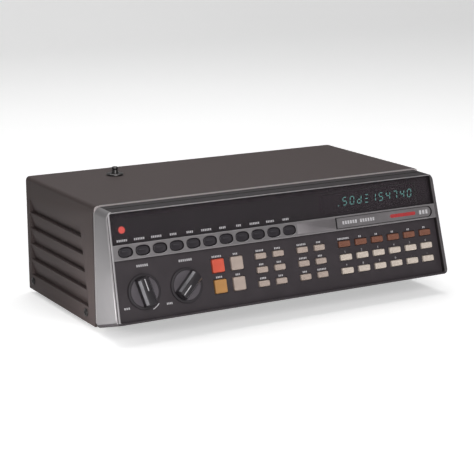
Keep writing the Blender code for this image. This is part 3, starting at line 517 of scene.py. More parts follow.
def front_edge_highlight_strip():
    """A thin strip of painted highlight along the cover's front edge, over the top and down both sides:
    pale where it faces front or back, silver elsewhere.
    """
    proud, depth, front, back = mm(0.06, 0.7, -0.25, 1.0)
    low_end = COVER_BOTTOM + CORNER_BOTTOM
    paths = []
    for inset in (-proud, depth):
        ring = upright_ring(0.0, inset, CORNER_TOP - inset, CORNER_BOTTOM)
        top_corners = ring[CORNER_STEPS + 1 : 3 * (CORNER_STEPS + 1)]
        half = HALF_WIDTH - inset
        paths.append([Vector((half, 0, low_end)), *top_corners, Vector((-half, 0, low_end))])
    ahead, behind = (Vector((0, JUNCTION_Y + y, 0)) for y in (front, back))
    trim = Shape()
    trim.loft([[o + ahead, o + behind, i + behind, i + ahead] for o, i in zip(*paths)])
    piece = place_shape("front_edge_highlight_strip", trim, [SILVER, COVER_LIP_HIGHLIGHT])
    for polygon in piece.data.polygons:
        # Faces turned front or back take the pale painted highlight.
        polygon.material_index = 1 if abs(polygon.normal.y) > 0.7 else 0


def rounded_ring(half_top, half_bottom, top, bottom, radius_top, radius_bottom):
    """The (across, up) points of an outline whose top and bottom differ in width and corner radius."""
    points = []
    for x, height, radius, start, side, inward in (
        (half_bottom, bottom, radius_bottom, -pi / 2, 1, 1),
        (half_top, top, radius_top, 0.0, 1, -1),
        (-half_top, top, radius_top, pi / 2, -1, -1),
        (-half_bottom, bottom, radius_bottom, pi, -1, 1),
    ):
        middle = (x - side * radius, height + inward * radius)
        points += arc_points(*middle, radius, start, pi / 2, CORNER_STEPS)
    return points


def upright_ring(y, inset, radius_top, radius_bottom, drop=0.0):
    """The cover's outline at one depth, drawn in by inset and lowered at the top by drop."""
    half = HALF_WIDTH - inset
    top, bottom = COVER_TOP - inset - drop, COVER_BOTTOM + inset
    ring = rounded_ring(half, half, top, bottom, radius_top, radius_bottom)
    return [Vector((x, y, z)) for x, z in ring]


def flared_half(down):
    """Half the bezel's width at a distance down the face."""
    return HALF_WIDTH + CHEEK_FLARE * down / FACE_LENGTH


def face_ring(top, bottom, inset, out, radius_top, radius_bottom):
    """An outline of the bezel in the face frame, between two distances down the face."""
    halves = [flared_half(down) - inset for down in (top, bottom)]
    ring = rounded_ring(*halves, -top, -bottom, radius_top, radius_bottom)
    return [FACE @ Vector((x, height, out)) for x, height in ring]


def bezel_rings():
    """The bezel's section, from its neck forward over the rim and back inside."""
    rear_round = 0.3 * MM
    neck_end, rear = JUNCTION_Y + NECK_LENGTH, JUNCTION_Y - AIR
    corners = (CORNER_TOP - rear_round, CORNER_BOTTOM - rear_round)
    rings = [upright_ring(y, NECK_INSET, NECK_CORNER, NECK_CORNER) for y in (neck_end, rear)]
    rings.append(upright_ring(rear, rear_round, *corners, VISOR_DROP))
    rings.append(upright_ring(rear - rear_round, 0.0, CORNER_TOP, CORNER_BOTTOM, VISOR_DROP))
    for angle in arc(0.0, pi / 2, 4):
        inset = RIM_ROUND * (1 - cos(angle))
        out = RIM_PROUD - RIM_ROUND + RIM_ROUND * sin(angle)
        corners = (CORNER_TOP - inset, CORNER_BOTTOM - inset)
        rings.append(face_ring(inset - VISOR_LIP, FACE_LENGTH - inset, inset, out, *corners))
    inner_round = 0.3 * MM
    wider = INNER_RADIUS + inner_round
    bottom = FACE_LENGTH - CHIN_WALL
    rings += [
        face_ring(-inner_round, bottom + inner_round, RIM_WIDTH - inner_round, RIM_PROUD, wider, wider),
        face_ring(0.0, bottom, RIM_WIDTH, RIM_PROUD - inner_round, INNER_RADIUS, INNER_RADIUS),
        face_ring(0.0, bottom, RIM_WIDTH, PANEL_BACK, INNER_RADIUS, INNER_RADIUS),
        upright_ring(neck_end, NECK_INSET + NECK_WALL, INNER_RADIUS, INNER_RADIUS),
    ]
    return rings


BEZEL_MATERIALS = [SILVER, VISOR, BAR, SILVER_EDGE_HIGHLIGHT, PANEL, RIM_PAINTED_SHADE]


def bezel_material(centre):
    """Silver on the cheeks, top corners, rim and bar, with a lighter silver on rounded rim and bar edges as
    painted highlight and dark grey on the rim's flat front as painted shade; dark on the visor, the chin
    and inside.
    """
    local = FACE.inverted() @ centre
    down = -local.y
    across = abs(centre.x)
    inner_wall = flared_half(max(down, 0.0)) - RIM_WIDTH
    bar_slack, hollow = mm(0.2, 0.3)
    if centre.y > JUNCTION_Y - AIR - HAIR / 2:
        return VISOR
    if down > FACE_LENGTH - CHIN_WALL - bar_slack:
        return PANEL
    on_corner = across > HALF_WIDTH - SILVER_CORNER and centre.z > COVER_TOP - TOP_BAND
    if across > inner_wall - SLACK or on_corner:
        if abs(across - inner_wall) < SLACK:
            return VISOR
        # The rim's flat front face is dark grey painted shade; its rounded edges are lighter silver painted
        # highlight.
        if local.z > RIM_PROUD - HAIR:
            return RIM_PAINTED_SHADE
        return SILVER_EDGE_HIGHLIGHT if local.z > RIM_PROUD - RIM_ROUND else SILVER
    if local.z < BAR_BACK:
        return VISOR
    if BAR_TOP - bar_slack < down < BAR_BOTTOM + bar_slack:
        edge = down < BAR_TOP + BAR_ROUND or down > BAR_BOTTOM - BAR_ROUND
        if not edge and local.z < BAR_PROUD - hollow:
            return VISOR
        # Rounded bar edges take the lighter silver: a painted highlight.
        return SILVER_EDGE_HIGHLIGHT if edge and local.z < BAR_PROUD - HAIR else BAR
    return VISOR


def opening_bead():
    """The rounded line around the opening: lighter silver as painted highlight, a bright painted highlight
    on the left side, dark grey painted shade on the right side, and the panel's dark at the bottom.
    """
    side, top, proud = mm(1.3, 0.75, 0.3)
    root, foot, inside, steps = -0.8 * MM, -0.1 * MM, 0.03 * MM, 8
    bottom = FACE_LENGTH - CHIN_WALL
    crown = [(0.5 - 0.5 * cos(a), proud * sin(a)) for a in arc(0.0, pi, steps)[1:-1]]
    profile = [(0.0, root), (0.0, foot), *crown, (1.0, foot), (1.0, root)]
    rings = []
    for share, out in profile:
        wider, corner = share * top - inside, INNER_RADIUS + share * top
        inset = RIM_WIDTH + inside - share * side
        rings.append(face_ring(-wider, bottom + wider, inset, RIM_PROUD + out, corner, corner))
    shape = Shape()
    shape.loft(rings, closed=True)
    materials = [SILVER_EDGE_HIGHLIGHT, PANEL, LEFT_BEAD_HIGHLIGHT, RIM_PAINTED_SHADE]
    bead = place_shape("opening_bead", shape, materials)
    for polygon in bead.data.polygons:
        down = -(FACE.inverted() @ polygon.center).y
        if down > bottom - 0.1 * MM:
            polygon.material_index = materials.index(PANEL)
        # Left side: painted highlight; right side: painted shade.
        elif abs(polygon.center.x) > OPENING_HALF - 0.5 * MM:
            polygon.material_index = materials.index(LEFT_BEAD_HIGHLIGHT if polygon.center.x < 0 else RIM_PAINTED_SHADE)


def service_names():
    return sorted(n for n in frame["nodes"] if n.startswith("service_key"))


def crossbar():
    """The bar across the opening, its front edges rounded."""
    half = OPENING_HALF + RIM_WIDTH / 2
    outline = [(-BAR_BOTTOM, BAR_BACK)]
    for corner, start in ((-BAR_BOTTOM + BAR_ROUND, pi), (-BAR_TOP - BAR_ROUND, pi / 2)):
        outline += arc_points(corner, BAR_PROUD - BAR_ROUND, BAR_ROUND, start, -pi / 2, 3)
    outline.append((-BAR_TOP, BAR_BACK))
    bar = Shape()
    bar.loft([[Vector((x, y, z)) for y, z in outline] for x in (-half, half)], 2, FACE)
    return bar


def bezel_cuts():
    """The service keys' holes, the nameplate's pocket and the visor's groove."""
    cuts = Shape()
    spare = 2 * (KEY_CLEARANCE - KEY_FLANGE)
    hole = [(0.0, BAR_BACK - 1 * MM), (0.0, BAR_PROUD - 0.25 * MM)]
    hole += [(0.5 * MM, BAR_PROUD), (1.5 * MM, BAR_PROUD + 0.5 * MM)]
    for name in service_names():
        low, high = face_box(name)
        size = high - low
        rings = [oval(size.x + spare + wider, size.y + spare + wider, level) for wider, level in hole]
        cuts.loft(rings, 1, on_face((low.x + high.x) / 2, BAR_MIDDLE))
    radius = POCKET_HEIGHT / 2
    middle = OPENING_HALF - POCKET_END - radius
    levels = (BAR_PROUD - POCKET_DEPTH, BAR_PROUD + 1 * MM)
    cuts.loft([tab_ring(POCKET_LEFT, middle, radius, z) for z in levels], 1, on_face(0, BAR_MIDDLE))
    groove_y = JUNCTION_Y - VISOR_GROOVE_BACK
    low = (CORNER_TOP - HALF_WIDTH, groove_y - VISOR_GROOVE, COVER_TOP - 2 * MM)
    slab(cuts, low, (HALF_WIDTH - CORNER_TOP, groove_y, COVER_TOP + 1 * MM), 1)
    return cuts


def front_bezel():
    shape = Shape()
    shape.loft(bezel_rings(), closed=True)
    mesh = shape.mesh("front_bezel", BEZEL_MATERIALS)
    bezel = place_mesh("front_bezel_moulding", mesh, "cabinet", None, ["front_bezel"])
    boolean(bezel, crossbar(), BEZEL_MATERIALS, "UNION")
    boolean(bezel, bezel_cuts(), BEZEL_MATERIALS)
    for polygon in bezel.data.polygons:
        polygon.material_index = BEZEL_MATERIALS.index(bezel_material(polygon.center))
    smooth(bezel.data, 32)


def bar_inlays():
    """What is let into the crossbar: nameplate, divider, blank plate and printed marks."""
    place = on_face(0, BAR_MIDDLE)
    front = BAR_PROUD - 0.25 * MM
    back = BAR_PROUD - POCKET_DEPTH + HAIR
    air, end_air, divider, soft, margin = mm(0.35, 1.1, 1.3, 0.15, 0.1)
    radius = POCKET_HEIGHT / 2 - air
    middle = OPENING_HALF - POCKET_END - end_air - radius
    left = POCKET_LEFT + divider
    plate = Shape()
    levels = ((0.0, back), (0.0, front - soft), (soft, front))
    plate.loft([tab_ring(left + inset, middle, radius - inset, z) for inset, z in levels])
    place_shape("nameplate_inlay", plate, [INLAY], place)
    edge = Shape()
    half = POCKET_HEIGHT / 2 - margin
    slab(edge, (POCKET_LEFT + margin, -half, back), (left - margin, half, BAR_PROUD))
    place_shape("nameplate_divider", edge, [BLACK], place)
    blank = Shape()
    blank_left = face_box(service_names()[-1])[1].x + 0.6 * MM
    width, height, corner, edge_round = POCKET_LEFT - blank_left, 7.6 * MM, 0.4 * MM, 0.06 * MM
    across = at((blank_left + POCKET_LEFT) / 2, 0, BAR_PROUD)
    rings = []
    for inset, out in ((0.0, -0.05 * MM), (0.0, 0.06 * MM), (edge_round, 0.1 * MM)):
        rings.append([across @ p for p in rounded_box(width - 2 * inset, height - 2 * inset, corner, out)])
    blank.loft(rings)
    place_shape("blank_inlay", blank, [BLANK_INLAY], place)
    marks = Shape()
    top = front + PRINT_TOP
    word_rows(marks, 64.2 * MM, 0.0, 28.7 * MM, 2.4 * MM, top, (6, 6))
    stripe_left, stripe_right, stripe_half = mm(92, 115, 1.3)
    low = (stripe_left, -stripe_half, front - PRINT_DEPTH)
    slab(marks, low, (stripe_right, stripe_half, top), 1, None, 1.2 * MM)
    word_rows(marks, 122.8 * MM, 0.0, 8.6 * MM, 3.0 * MM, top, (3,))
    place_shape("nameplate_marks", marks, [INK, RED_INK], place)


# ---- Printed marks ----
def word_rows(shape, x, y, width, height, top, letters):
    """A plain row of small blocks in place of a printed word: one group for each number in letters."""
    block_share = 0.65
    step = width / (sum(letters) + len(letters) - 1)
    start = x - width / 2
    for group in letters:
        for _ in range(group):
            low = (start, y - height / 2, top - PRINT_DEPTH)
            slab(shape, low, (start + step * block_share, y + height / 2, top))
            start += step
        start += step


def numeral(shape, text, x, y, size, top):
    """A plain numeral, thin and solid, centred on a point of the face."""
    thin = 0.02 * MM
    curve = bpy.data.curves.new("numeral", "FONT")
    curve.body = text
    curve.size = size
    curve.align_x = "CENTER"
    curve.align_y = "CENTER"
    curve.extrude = thin
    curve.resolution_u = 3
    obj = new_object("numeral", curve)
    bpy.context.view_layer.update()
    mesh = obj.to_mesh()
    faces = [tuple(p.vertices) for p in mesh.polygons]
    shape.add([v.co for v in mesh.vertices], faces, 0, at(x, y, top - thin))
    obj.to_mesh_clear()
    bpy.data.objects.remove(obj)
    bpy.data.curves.remove(curve)


def key_middle(name):
    """(x, distance down the face, height of the cap) of a key."""
    low, high = face_box(name)
    return (low.x + high.x) / 2, -(low.y + high.y) / 2, high.y - low.y - 2 * KEY_FLANGE


def key_marks(marks):
    """The numbers and words over the square, function and keypad keys."""
    rise, letter, letter_height, number_height = mm(1.75, 1.3, 1.3, 2.3)
    narrow_letter = 1.25 * MM
    numbers = {2: "123456", 3: "7890.-"}
    for name in sorted(frame["nodes"]):
        if not name.startswith(("square_key", "function_key", "number_key")):
            continue
        x, down, height = key_middle(name)
        row = int(name.split("_r")[1][0])
        column = int(name.split("c")[-1])
        above = -down + height / 2 + rise
        if name.startswith("number_key") and row > 1:
            numeral(marks, numbers[row][column - 1], x, above, number_height, PRINT_TOP)
        elif name.startswith("number_key"):
            count = 8 if column == 1 else 2
            word_rows(marks, x, above, narrow_letter * count, letter_height, PRINT_TOP, (count,))
        else:
            count = random.randint(3, 6)
            word_rows(marks, x, above, letter * count, letter_height, PRINT_TOP, (count,))


def knob_marks(marks):
    """Each knob's label over it and end mark under it, as (x, up, letters) in millimetres from the knob."""
    for name, label, end in (
        ("volume_turn", (1.4, 17.7, 6), (-13.8, -9.7, 3)),
        ("squelch_turn", (1.9, 17.2, 7), (-14.2, -10.4, 4)),
    ):
        knob = FACE.inverted() @ Vector(joint(name)["pos_m"])
        for (x, up, count), width, height in ((label, 1.5 * label[2], 1.6), (end, 4.6, 1.4)):
            place = (knob.x + x * MM, knob.y + up * MM, width * MM, height * MM)
            word_rows(marks, *place, PRINT_TOP, (count,))


def volume_arc(marks):
    """The curved line beside the volume knob, with its angles from straight up."""
    knob = FACE.inverted() @ Vector(joint("volume_turn")["pos_m"])
    inner, outer = mm(13.3, 13.9)
    angles = arc(radians(133), radians(25), 8)
    outline = [(inner, a) for a in angles] + [(outer, a) for a in reversed(angles)]
    points = [(knob.x + r * sin(a), knob.y + r * cos(a)) for r, a in outline]
    levels = (PRINT_TOP - PRINT_DEPTH, PRINT_TOP)
    marks.loft([[Vector((x, y, level)) for x, y in points] for level in levels])


def panel_marks():
    marks = Shape()
    random.seed(7)
    key_marks(marks)
    knob_marks(marks)
    volume_arc(marks)
    place_shape("panel_marks", marks, [INK], FACE)


def window_marks():
    """A word over each service key, near the window's lower edge."""
    down, letter, height = mm(18.6, 1.35, 1.5)
    marks = Shape()
    random.seed(11)
    for name in service_names():
        count = random.choice((3, 4, 5, 6))
        word_rows(marks, key_middle(name)[0], -down, letter * count, height, PRINT_TOP, (count,))
    place_shape("window_marks", marks, [INK], FACE)


# ---- Display ----
SEGMENTS = {
    "0": "abcdef", "1": "bc", "4": "fgbc", "5": "afgcd", "7": "abc", "d": "bcdeg", "=": "adg", ".": "p",
}


def segment_bars(width, height, slant):
    """Each segment of a digit as its two end points, in halves of the digit's width and height."""
    ends = {
        "a": (-1, 1, 1, 1), "b": (1, 1, 1, 0), "c": (1, 0, 1, -1), "d": (-1, -1, 1, -1),
        "e": (-1, 0, -1, -1), "f": (-1, 1, -1, 0), "g": (-1, 0, 1, 0), "p": (-0.5, -1, 0.5, -1),
    }

    def lean(x, y):
        return Vector((x * width / 2 + y * height / 2 * slant, y * height / 2, 0))

    return {letter: (lean(*points[:2]), lean(*points[2:])) for letter, points in ends.items()}


def display_digits():
    """A point and ten teal glyphs in the gap between the tube and the window."""
    shape = Shape()
    first, pitch, down, height, width = mm(52.3, 6.43, 11.1, 5.5, 3.2)
    thick, end_gap, point_shift, slant = 0.5 * MM, 0.35 * MM, 1.1 * MM, 0.16
    levels = (-2.2 * MM, -2.12 * MM)
    bars = segment_bars(width, height, slant)
    for number, glyph in enumerate(".50d=154740"):
        middle = Vector((first + number * pitch - (point_shift if number else 0.0), -down, 0))
        for letter in SEGMENTS[glyph]:
            start, end = bars[letter]
            along = (end - start).normalized()
            across = Vector((-along.y, along.x, 0)) * thick / 2
            start, end = start + along * end_gap, end - along * end_gap
            tip = along * thick / 2
            corners = [start, start + tip - across, end - tip - across]
            corners += [end, end - tip + across, start + tip + across]
            shape.loft([[middle + c + Vector((0, 0, z)) for c in corners] for z in levels])
    place_shape("display_digits", shape, [DIGIT], FACE)


# ---- Keys and knobs ----
KEY_FINISHES = {
    "square_key_r1c1": (ORANGE, "orange_key"),
    "square_key_r2c1": (AMBER, "amber_key"),
    "square": (CREAM, "cream_key"),
    "function": (CREAM, "cream_key"),
    "number_key_r1": (BROWN, "brown_key"),
    "number": (PALE_CREAM, "cream_key"),
    "service": (SERVICE, "service_key"),
}


def key_finish(name):
    return next(KEY_FINISHES[start] for start in KEY_FINISHES if name.startswith(start))


def key_box(width, height, level):
    return rounded_box(width, height, 0.8 * MM, level)


def key_cap(width, height, back, flange_top, top, section):
    """Rings of a cap: stem, flange, straight skirt, round shoulder and a dished top."""
    stem, shoulder, dish, both = 3 * MM, 0.7 * MM, 0.3 * MM, 2 * KEY_FLANGE
    rings = [section(stem, stem, back), section(stem, stem, flange_top - KEY_FLANGE)]
    rings += [section(width + both, height + both, z) for z in (flange_top - KEY_FLANGE, flange_top)]
    rings.append(section(width, height, flange_top))
    for angle in arc(0.0, pi / 2, 5):
        inset = 2 * shoulder * (1 - cos(angle))
        level = top - shoulder + shoulder * sin(angle)
        rings.append(section(width - inset, height - inset, level))
    width, height = width - 2 * shoulder, height - 2 * shoulder
    rings += [section(width * s, height * s, top - dish * (1 - s**2)) for s in (0.85, 0.6, 0.3)]
    return rings


def key_mesh(name, material):
    low, high = face_box(name)
    width, height = high.x - low.x - 2 * KEY_FLANGE, high.y - low.y - 2 * KEY_FLANGE
    service = name.startswith("service")
    flange_top = (BAR_BACK if service else PANEL_BACK) - AIR
    shape = Shape()
    shape.loft(key_cap(width, height, low.z, flange_top, high.z, oval if service else key_box))
    if service:
        length, wide, soft, root, up = mm(4.8, 1.0, 0.3, 0.6, 0.8)
        levels = ((0.0, high.z - root), (0.0, high.z - 0.06 * MM), (soft, high.z))
        ridge = [rounded_box(length - inset, wide - inset, 0.4 * MM, z) for inset, z in levels]
        # A raised ridge in a lighter colour: a painted highlight.
        shape.loft(ridge, 1, at(0, up, 0))
    return shape.mesh(name + "_cap", [material, SERVICE_RIDGE_HIGHLIGHT] if service else [material])


def keys():
    """All the keys, with one mesh for those that share a shape and a finish."""
    meshes = {}
    for name in sorted(frame["nodes"]):
        if "_key_" not in name or name == "key_board":
            continue
        x, down, _ = key_middle(name)
        material, slot = key_finish(name)
        kind = (name.split("_key")[0], material.name)
        if kind not in meshes:
            meshes[kind] = key_mesh(name, material)
        place_mesh(name + "_cap", meshes[kind], name, on_face(x, down), [name])


def knob_mesh(name):
    """A skirt, a paler disc and a grip with sloping sides and a white line, pointing up the face. The
    grip's broad sloping sides are light metallic grey: a painted highlight.
    """
    shape = Shape()
    low, high = face_box(name)
    skirt, disc, stem, foot = 12.2 * MM, 10.2 * MM, 3.0 * MM, AIR
    rim = foot + 1.0 * MM
    profile = [(stem, low.z), (stem, foot), (skirt - 0.3 * MM, foot), (skirt, foot + 0.3 * MM)]
    profile += [(skirt, foot + 0.6 * MM), (skirt - 0.15 * MM, foot + 0.85 * MM), (skirt - 0.45 * MM, rim)]
    profile += [(disc + 0.25 * MM, rim), (disc + 0.1 * MM, foot + 0.85 * MM)]
    turned(shape, profile, 0)
    top = foot + 1.3 * MM
    face = [(disc, foot + 0.3 * MM), (disc, top - 0.15 * MM), (disc - 0.2 * MM, top), (0.4 * disc, top)]
    turned(shape, face, 1)
    wide, narrow, length, span, chamfer = mm(8.8, 5.6, 20.4, 19.4, 1.9)
    grip = (
        (wide, length, 1.0 * MM, foot + 0.9 * MM),
        (wide - 0.2 * MM, span, 1.0 * MM, high.z - chamfer),
        (narrow, span - 0.3 * MM, 0.9 * MM, high.z - 0.3 * MM),
        (narrow - 0.3 * MM, span - 0.6 * MM, 0.8 * MM, high.z - 0.08 * MM),
        (narrow - 0.9 * MM, span - 1.2 * MM, 0.6 * MM, high.z),
    )
    shape.loft([rounded_box(*ring, 6) for ring in grip], 2)
    half, line_foot, line_end = mm(0.33, 0.3, 8.9)
    slab(shape, (-half, line_foot, high.z - 0.3 * MM), (half, line_end, high.z + HAIR), 3, None, 0.2 * MM)
    mesh = shape.mesh(name + "_knob", [KNOB_SKIRT, KNOB_DISC, KNOB_GRIP, INK, KNOB_SIDE_HIGHLIGHT])
    # Broad sloping sides of the grip take the light grey: a painted highlight.
    for polygon in mesh.polygons:
        sloping = 0.5 < abs(polygon.normal.x) < 0.9 and polygon.area > 8 * MM * MM
        if polygon.material_index == 2 and sloping:
            polygon.material_index = 4
    return mesh


def knobs():
    for name, turn_joint, angle in (
        ("volume_knob", "volume_turn", VOLUME_ANGLE),
        ("squelch_knob", "squelch_turn", SQUELCH_ANGLE),
    ):
        middle = FACE.inverted() @ Vector(joint(turn_joint)["pos_m"])
        place = on_face(middle.x, -middle.y, 0.0, angle)
        place_mesh(name + "_turning", knob_mesh(name), name, place, [name])


# ---- Antenna ----
def antenna_piece(name, node, profile, closed=True):
    """A piece turned around the antenna's axis, which stands for a CAD node."""
    low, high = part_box("antenna_socket")
    shape = Shape()
    turned(shape, profile, closed=closed)
    place = at((low.x + high.x) / 2, (low.y + high.y) / 2, 0)
    body = frame["nodes"][node]["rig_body"]
    place_shape(name, shape, [DARK_NICKEL], place, body, [node])


def antenna_collar():
    low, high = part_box("antenna_socket")
    bore, sleeve, collar, soft = 2.8 * MM, 4.3 * MM, (high.x - low.x) / 2, 0.2 * MM
    seat = COVER_TOP + AIR
    profile = [(bore, low.z), (sleeve, low.z), (sleeve, seat), (collar - soft, seat), (collar, seat + soft)]
    profile += [(collar - 0.15 * MM, high.z - 0.5 * MM), (collar - 0.6 * MM, high.z - 0.1 * MM)]
    profile += [(collar - 1.1 * MM, high.z), (bore + 0.4 * MM, high.z), (bore, high.z - 0.3 * MM)]
    antenna_piece("antenna_collar", "antenna_socket", profile)


def antenna_tube():
    low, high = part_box("antenna_mast")
    radius, stop, inner, soft = ANTENNA_RADIUS, (high.x - low.x) / 2, 1.7 * MM, 0.2 * MM
    stop_top = low.z + 2.5 * MM
    profile = [(inner, low.z), (stop - soft, low.z), (stop, low.z + soft), (stop, stop_top - soft)]
    profile += [(stop - soft, stop_top), (radius, stop_top), (radius, high.z - 0.5 * MM)]
    profile += [(radius - 0.25 * MM, high.z - 0.1 * MM), (radius - 0.4 * MM, high.z), (inner, high.z)]
    antenna_piece("antenna_tube", "antenna_mast", profile)


def antenna_button():
    """The thin rod with the round button on its end."""
    low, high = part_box("antenna_tip")
    radius, rod, soft = ANTENNA_RADIUS, 1.3 * MM, 0.2 * MM
    head = high.z - 2.0 * MM
    profile = [(rod, low.z), (rod, head), (radius - soft, head), (radius, head + soft)]
    for share, rise in ((1.0, 1.0), (0.93, 1.45), (0.72, 1.8), (0.4, 1.96), (0.1, 2.0)):
        profile.append((radius * share, head + rise * MM))
    antenna_piece("antenna_button", "antenna_tip", profile, False)


# ---- Small parts on the outside ----
def screw_mesh():
    """A domed head with a cross slot, standing on the plane z = 0."""
    shape = Shape()
    radius, rise, edge, shank, shank_end = mm(2.9, 1.1, 0.15, 1.2, -2.0)
    profile = [(shank, shank_end), (radius - 0.1 * MM, 0.0), (radius, edge)]
    for angle in arc(0.0, pi / 2, 6)[1:-1]:
        profile.append((radius * cos(angle), edge + (rise - edge) * sin(angle)))
    turned(shape, profile, steps=40)
    head = new_object("screw", shape.mesh("screw", [SCREW]))
    length, width, depth = mm(3.0, 0.7, 0.25)
    for x, y in ((length / 2, width / 2), (width / 2, length / 2)):
        slot = Shape()
        slab(slot, (-x, -y, depth), (x, y, 2 * MM))
        boolean(head, slot, [SCREW])
    mesh = head.data
    bpy.data.objects.remove(head)
    smooth(mesh, 35)
    return mesh


def screws():
    """Two screws on each side, in shallow dimples, just inside the widest part of the bezel."""
    mesh = screw_mesh()
    height = COVER_BOTTOM + 7.2 * MM
    for side, word in ((-1, "left"), (1, "right")):
        for end, y, spin in (("front", JUNCTION_Y + 16.8 * MM, 0.4), ("rear", REAR_Y - 9.0 * MM, 1.1)):
            turn = Matrix.Rotation(side * pi / 2, 4, "Y") @ Matrix.Rotation(spin, 4, "Z")
            place = at(side * (HALF_WIDTH + SLACK), y, height) @ turn
            place_mesh(f"cover_screw_{word}_{end}", mesh, "cabinet", place)


def feet():
    """Rubber cups over the chassis's four feet."""
    radius, soft, lip, top = 6.95 * MM, 0.7 * MM, 1.0 * MM, COVER_BOTTOM - SLACK
    hollow, hollow_edge, depth = mm(4.2, 4.6, 0.35)
    for mount in frame["record"]["mounts"]:
        x, y, _ = mount["pos_m"]
        shape = Shape()
        edge = arc_points(radius - soft, soft, soft, -pi / 2, pi / 2, 4)
        profile = [(hollow, depth), (hollow_edge, 0.0), *edge, (radius, top), (radius - lip, top)]
        turned(shape, profile)
        place_shape(mount["name"] + "_rubber", shape, [RUBBER], at(x, y, 0))


# ---- CAD nodes that keep their shape ----
def chassis():
    refined("chassis", [ZINC], None, 0.15 * MM)


def face_panel():
    refined("face_panel", [PANEL], None, 0.25 * MM, (AIR, INNER_RADIUS, 0.0))


def display_window():
    refined("display_window", [WINDOW], None, 0.2 * MM, (AIR, 0.0, INNER_RADIUS))


def display_tube():
    refined("display_tube", [TUBE], None, 0.3 * MM)


def key_board():
    """The green board, the red case of the lamp, and the dark switches and controls."""
    board_front = face_box("key_board")[1].z
    lamp_reach, lamp_length, cases_back = mm(3.2, 6.2, -7.8)

    def choose(centre):
        local = FACE.inverted() @ centre
        from_lamp = hypot(local.x - LAMP_LEFT + OPENING_HALF, local.y + LAMP_DOWN)
        if from_lamp < lamp_reach and local.z > board_front - lamp_length:
            return RED_INK
        return CHIP if local.z > cases_back else BOARD

    refined("key_board", [BOARD, RED_INK, CHIP], choose, 0.0)


def main_board():
    """The board with its tuner can, chips, cooling block and capacitors, from left to right."""
    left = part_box("main_board")[0].x
    board_top = COVER_BOTTOM + 8.1 * MM
    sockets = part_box("chassis")[1].y - 9 * MM
    can_end, cooling_block, capacitors = left + 74 * MM, left + 139 * MM, left + 148 * MM

    def choose(centre):
        if centre.y > sockets:
            return BLACK
        if centre.z < board_top + SLACK:
            return BOARD
        if centre.x > capacitors:
            return SLEEVE_BLUE
        return TIN if centre.x < can_end or centre.x > cooling_block else CHIP

    refined("main_board", [BOARD, TIN, CHIP, BLACK, SLEEVE_BLUE], choose, 0.15 * MM)


def speaker():
    """A dark cone in a black frame, with the steel magnet on top."""
    low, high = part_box("speaker")
    middle = (low + high) / 2
    cone, cone_top, magnet = 24 * MM, low.z + 9 * MM, low.z + 11.9 * MM

    def choose(centre):
        radius = hypot(centre.x - middle.x, centre.y - middle.y)
        if centre.z > magnet:
            return ZINC
        return CONE if radius < cone and centre.z < cone_top else BLACK

    refined("speaker", [CONE, BLACK, ZINC], choose, 0.0)


def power_transformer():
    """An iron core with the taped coil standing out in front and behind."""
    low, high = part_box("power_transformer")
    middle = (low + high) / 2
    core, frame_foot = 9.1 * MM, low.z + 2 * MM

    def choose(centre):
        return TAPE if abs(centre.y - middle.y) > core and centre.z > frame_foot else IRON

    refined("power_transformer", [IRON, TAPE], choose, 0.2 * MM)


# ---- Small parts on the CAD nodes ----
def on_rear(x, y, z):
    """A place on the rear of the cabinet, facing back."""
    return at(x, y, z) @ Matrix.Rotation(-pi / 2, 4, "X")


def jack_nuts():
    bore, radius, top, air, soft = mm(4.75, 6.6, 1.3, 0.05, 0.4)
    profile = [(bore, air), (radius, air), (radius, top - soft), (radius - soft, top)]
    profile += [(bore + 0.25 * MM, top), (bore, top - 0.2 * MM)]
    for number in range(JACK_COUNT):
        ring = Shape()
        turned(ring, profile, closed=True, steps=48)
        x = JACK_LEFT + number * JACK_STEP - HALF_WIDTH
        place = on_rear(x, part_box("chassis")[1].y, JACK_HEIGHT)
        place_shape(f"jack_nut_{number + 1}", ring, [TIN], place)


def inlet_pins():
    apart, root = mm(2.6, 0.5)
    profile = [(1.1 * MM, 0.0), (1.1 * MM, 6.4 * MM), (0.8 * MM, 6.9 * MM), (0.3 * MM, 7.1 * MM)]
    low, high = frame["record"]["physics"]["openings"][0]["box_m"]
    pins = Shape()
    for side in (-1, 1):
        x = (low[0] + high[0]) / 2 + side * apart
        turned(pins, profile, 0, on_rear(x, low[1] - root, (low[2] + high[2]) / 2), steps=24)
    place_shape("inlet_pins", pins, [TIN], None)


def rating_plate():
    """A blank foil plate where a real set has its rating label."""
    half_width, half_height, foot, top, corner = mm(28, 9, 0.05, 0.35, 1.2)
    plate = Shape()
    slab(plate, (-half_width, -half_height, foot), (half_width, half_height, top), 0, None, corner)
    place = on_rear(-62 * MM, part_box("chassis")[1].y, 58 * MM)
    place_shape("blank_rating_plate", plate, [INLAY], place)


def lamp_lens():
    """The red lamp's round end, just behind the window."""
    radius, soft, shoulder, front = mm(2.4, 0.15, -2.12, -2.05)
    lens = Shape()
    turned(lens, [(radius, -2.28 * MM), (radius, shoulder), (radius - soft, front)], steps=48)
    place_shape("lamp_lens", lens, [LAMP], on_face(LAMP_LEFT - OPENING_HALF, LAMP_DOWN))


# ---- Stage, lights and camera ----
def seen_only(tree, node, socket, lighting, seen):
    """Gives a socket one value where it lights the object and another where the camera sees it."""
    path = tree.nodes.new("ShaderNodeLightPath")
    run_between(tree, path.outputs["Is Camera Ray"], lighting, seen, tree.nodes[node].inputs[socket])


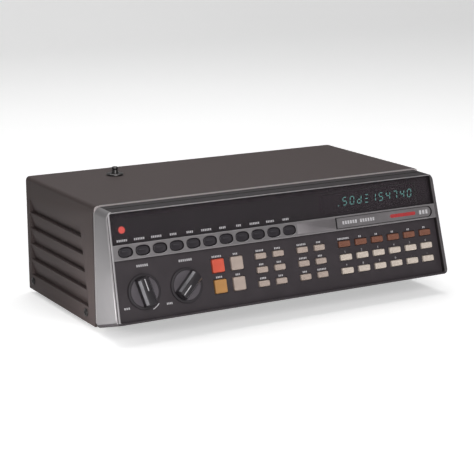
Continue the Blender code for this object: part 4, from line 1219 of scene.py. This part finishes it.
def stage():
    """A white floor that curves up into a backdrop, and a white world."""
    floor_finish = finish("floor_white", (0.86, 0.86, 0.86), 0.6, mottle=(3, 0.01), grain=(300, 0.02))
    glowing(floor_finish, (1.0, 1.0, 1.0), 0.0)
    seen_only(floor_finish.node_tree, "Principled BSDF", "Emission Strength", 0.0, 0.45)
    reach, front, back, curve, top = 3.0, -2.5, 1.6, 0.8, 3.0
    line = [(front, 0.0), *arc_points(back, curve, curve, -pi / 2, pi / 2, 12), (back + curve, top)]
    shape = Shape()
    points = [(x, y, z) for y, z in line for x in (-reach, reach)]
    shape.add(points, [(2 * i, 2 * i + 1, 2 * i + 3, 2 * i + 2) for i in range(len(line) - 1)])
    floor = new_object("floor", shape.mesh("floor", [floor_finish], 60))
    world = bpy.data.worlds.new("studio")
    world.use_nodes = True
    world.node_tree.nodes["Background"].inputs["Color"].default_value = (1.0, 1.0, 1.0, 1.0)
    seen_only(world.node_tree, "Background", "Strength", 0.18, 1.0)
    bpy.context.scene.world = world


def area_light(name, place, target, size, power):
    light = bpy.data.lights.new(name, "AREA")
    light.shape = "RECTANGLE"
    light.size, light.size_y = size
    light.energy = power
    obj = new_object(name, light)
    obj.location = place
    obj.rotation_euler = (Vector(target) - Vector(place)).to_track_quat("-Z", "Y").to_euler()
    obj.visible_camera = False


def lights():
    middle = (0.0, 0.0, 0.05)
    area_light("overhead", (0.1, 0.4, 1.3), middle, (1.2, 0.9), 10.5)
    area_light("front", (-0.35, -1.5, 1.1), middle, (1.0, 0.8), 10.0)
    area_light("front_low", (-0.3, -1.5, 0.25), middle, (0.8, 0.3), 3.0)
    area_light("left_low", (-0.19, -0.055, 0.02), (-0.137, -0.055, 0.03), (0.05, 0.015), 0.035)


def camera():
    data = bpy.data.cameras.new("camera")
    data.sensor_width = 36.0
    data.lens = 112.336
    obj = new_object("camera", data)
    right = Vector((0.86772, -0.49704, -0.00234))
    up = Vector((0.11801, 0.20144, 0.97237))
    back = Vector((-0.48283, -0.84402, 0.23345))
    eye = at(-0.53461, -0.93470, 0.30106)
    obj.matrix_world = eye @ Matrix((right, up, back)).transposed().to_4x4()
    bpy.context.scene.camera = obj


camera()
cabinet_cover()
front_edge_highlight_strip()
front_bezel()
opening_bead()
bar_inlays()
panel_marks()
window_marks()
display_window()
display_tube()
display_digits()
lamp_lens()
face_panel()
keys()
knobs()
antenna_collar()
antenna_tube()
antenna_button()
screws()
feet()
chassis()
key_board()
main_board()
jack_nuts()
inlet_pins()
rating_plate()
speaker()
power_transformer()
stage()
lights()
bpy.context.scene.view_settings.view_transform = "Standard"
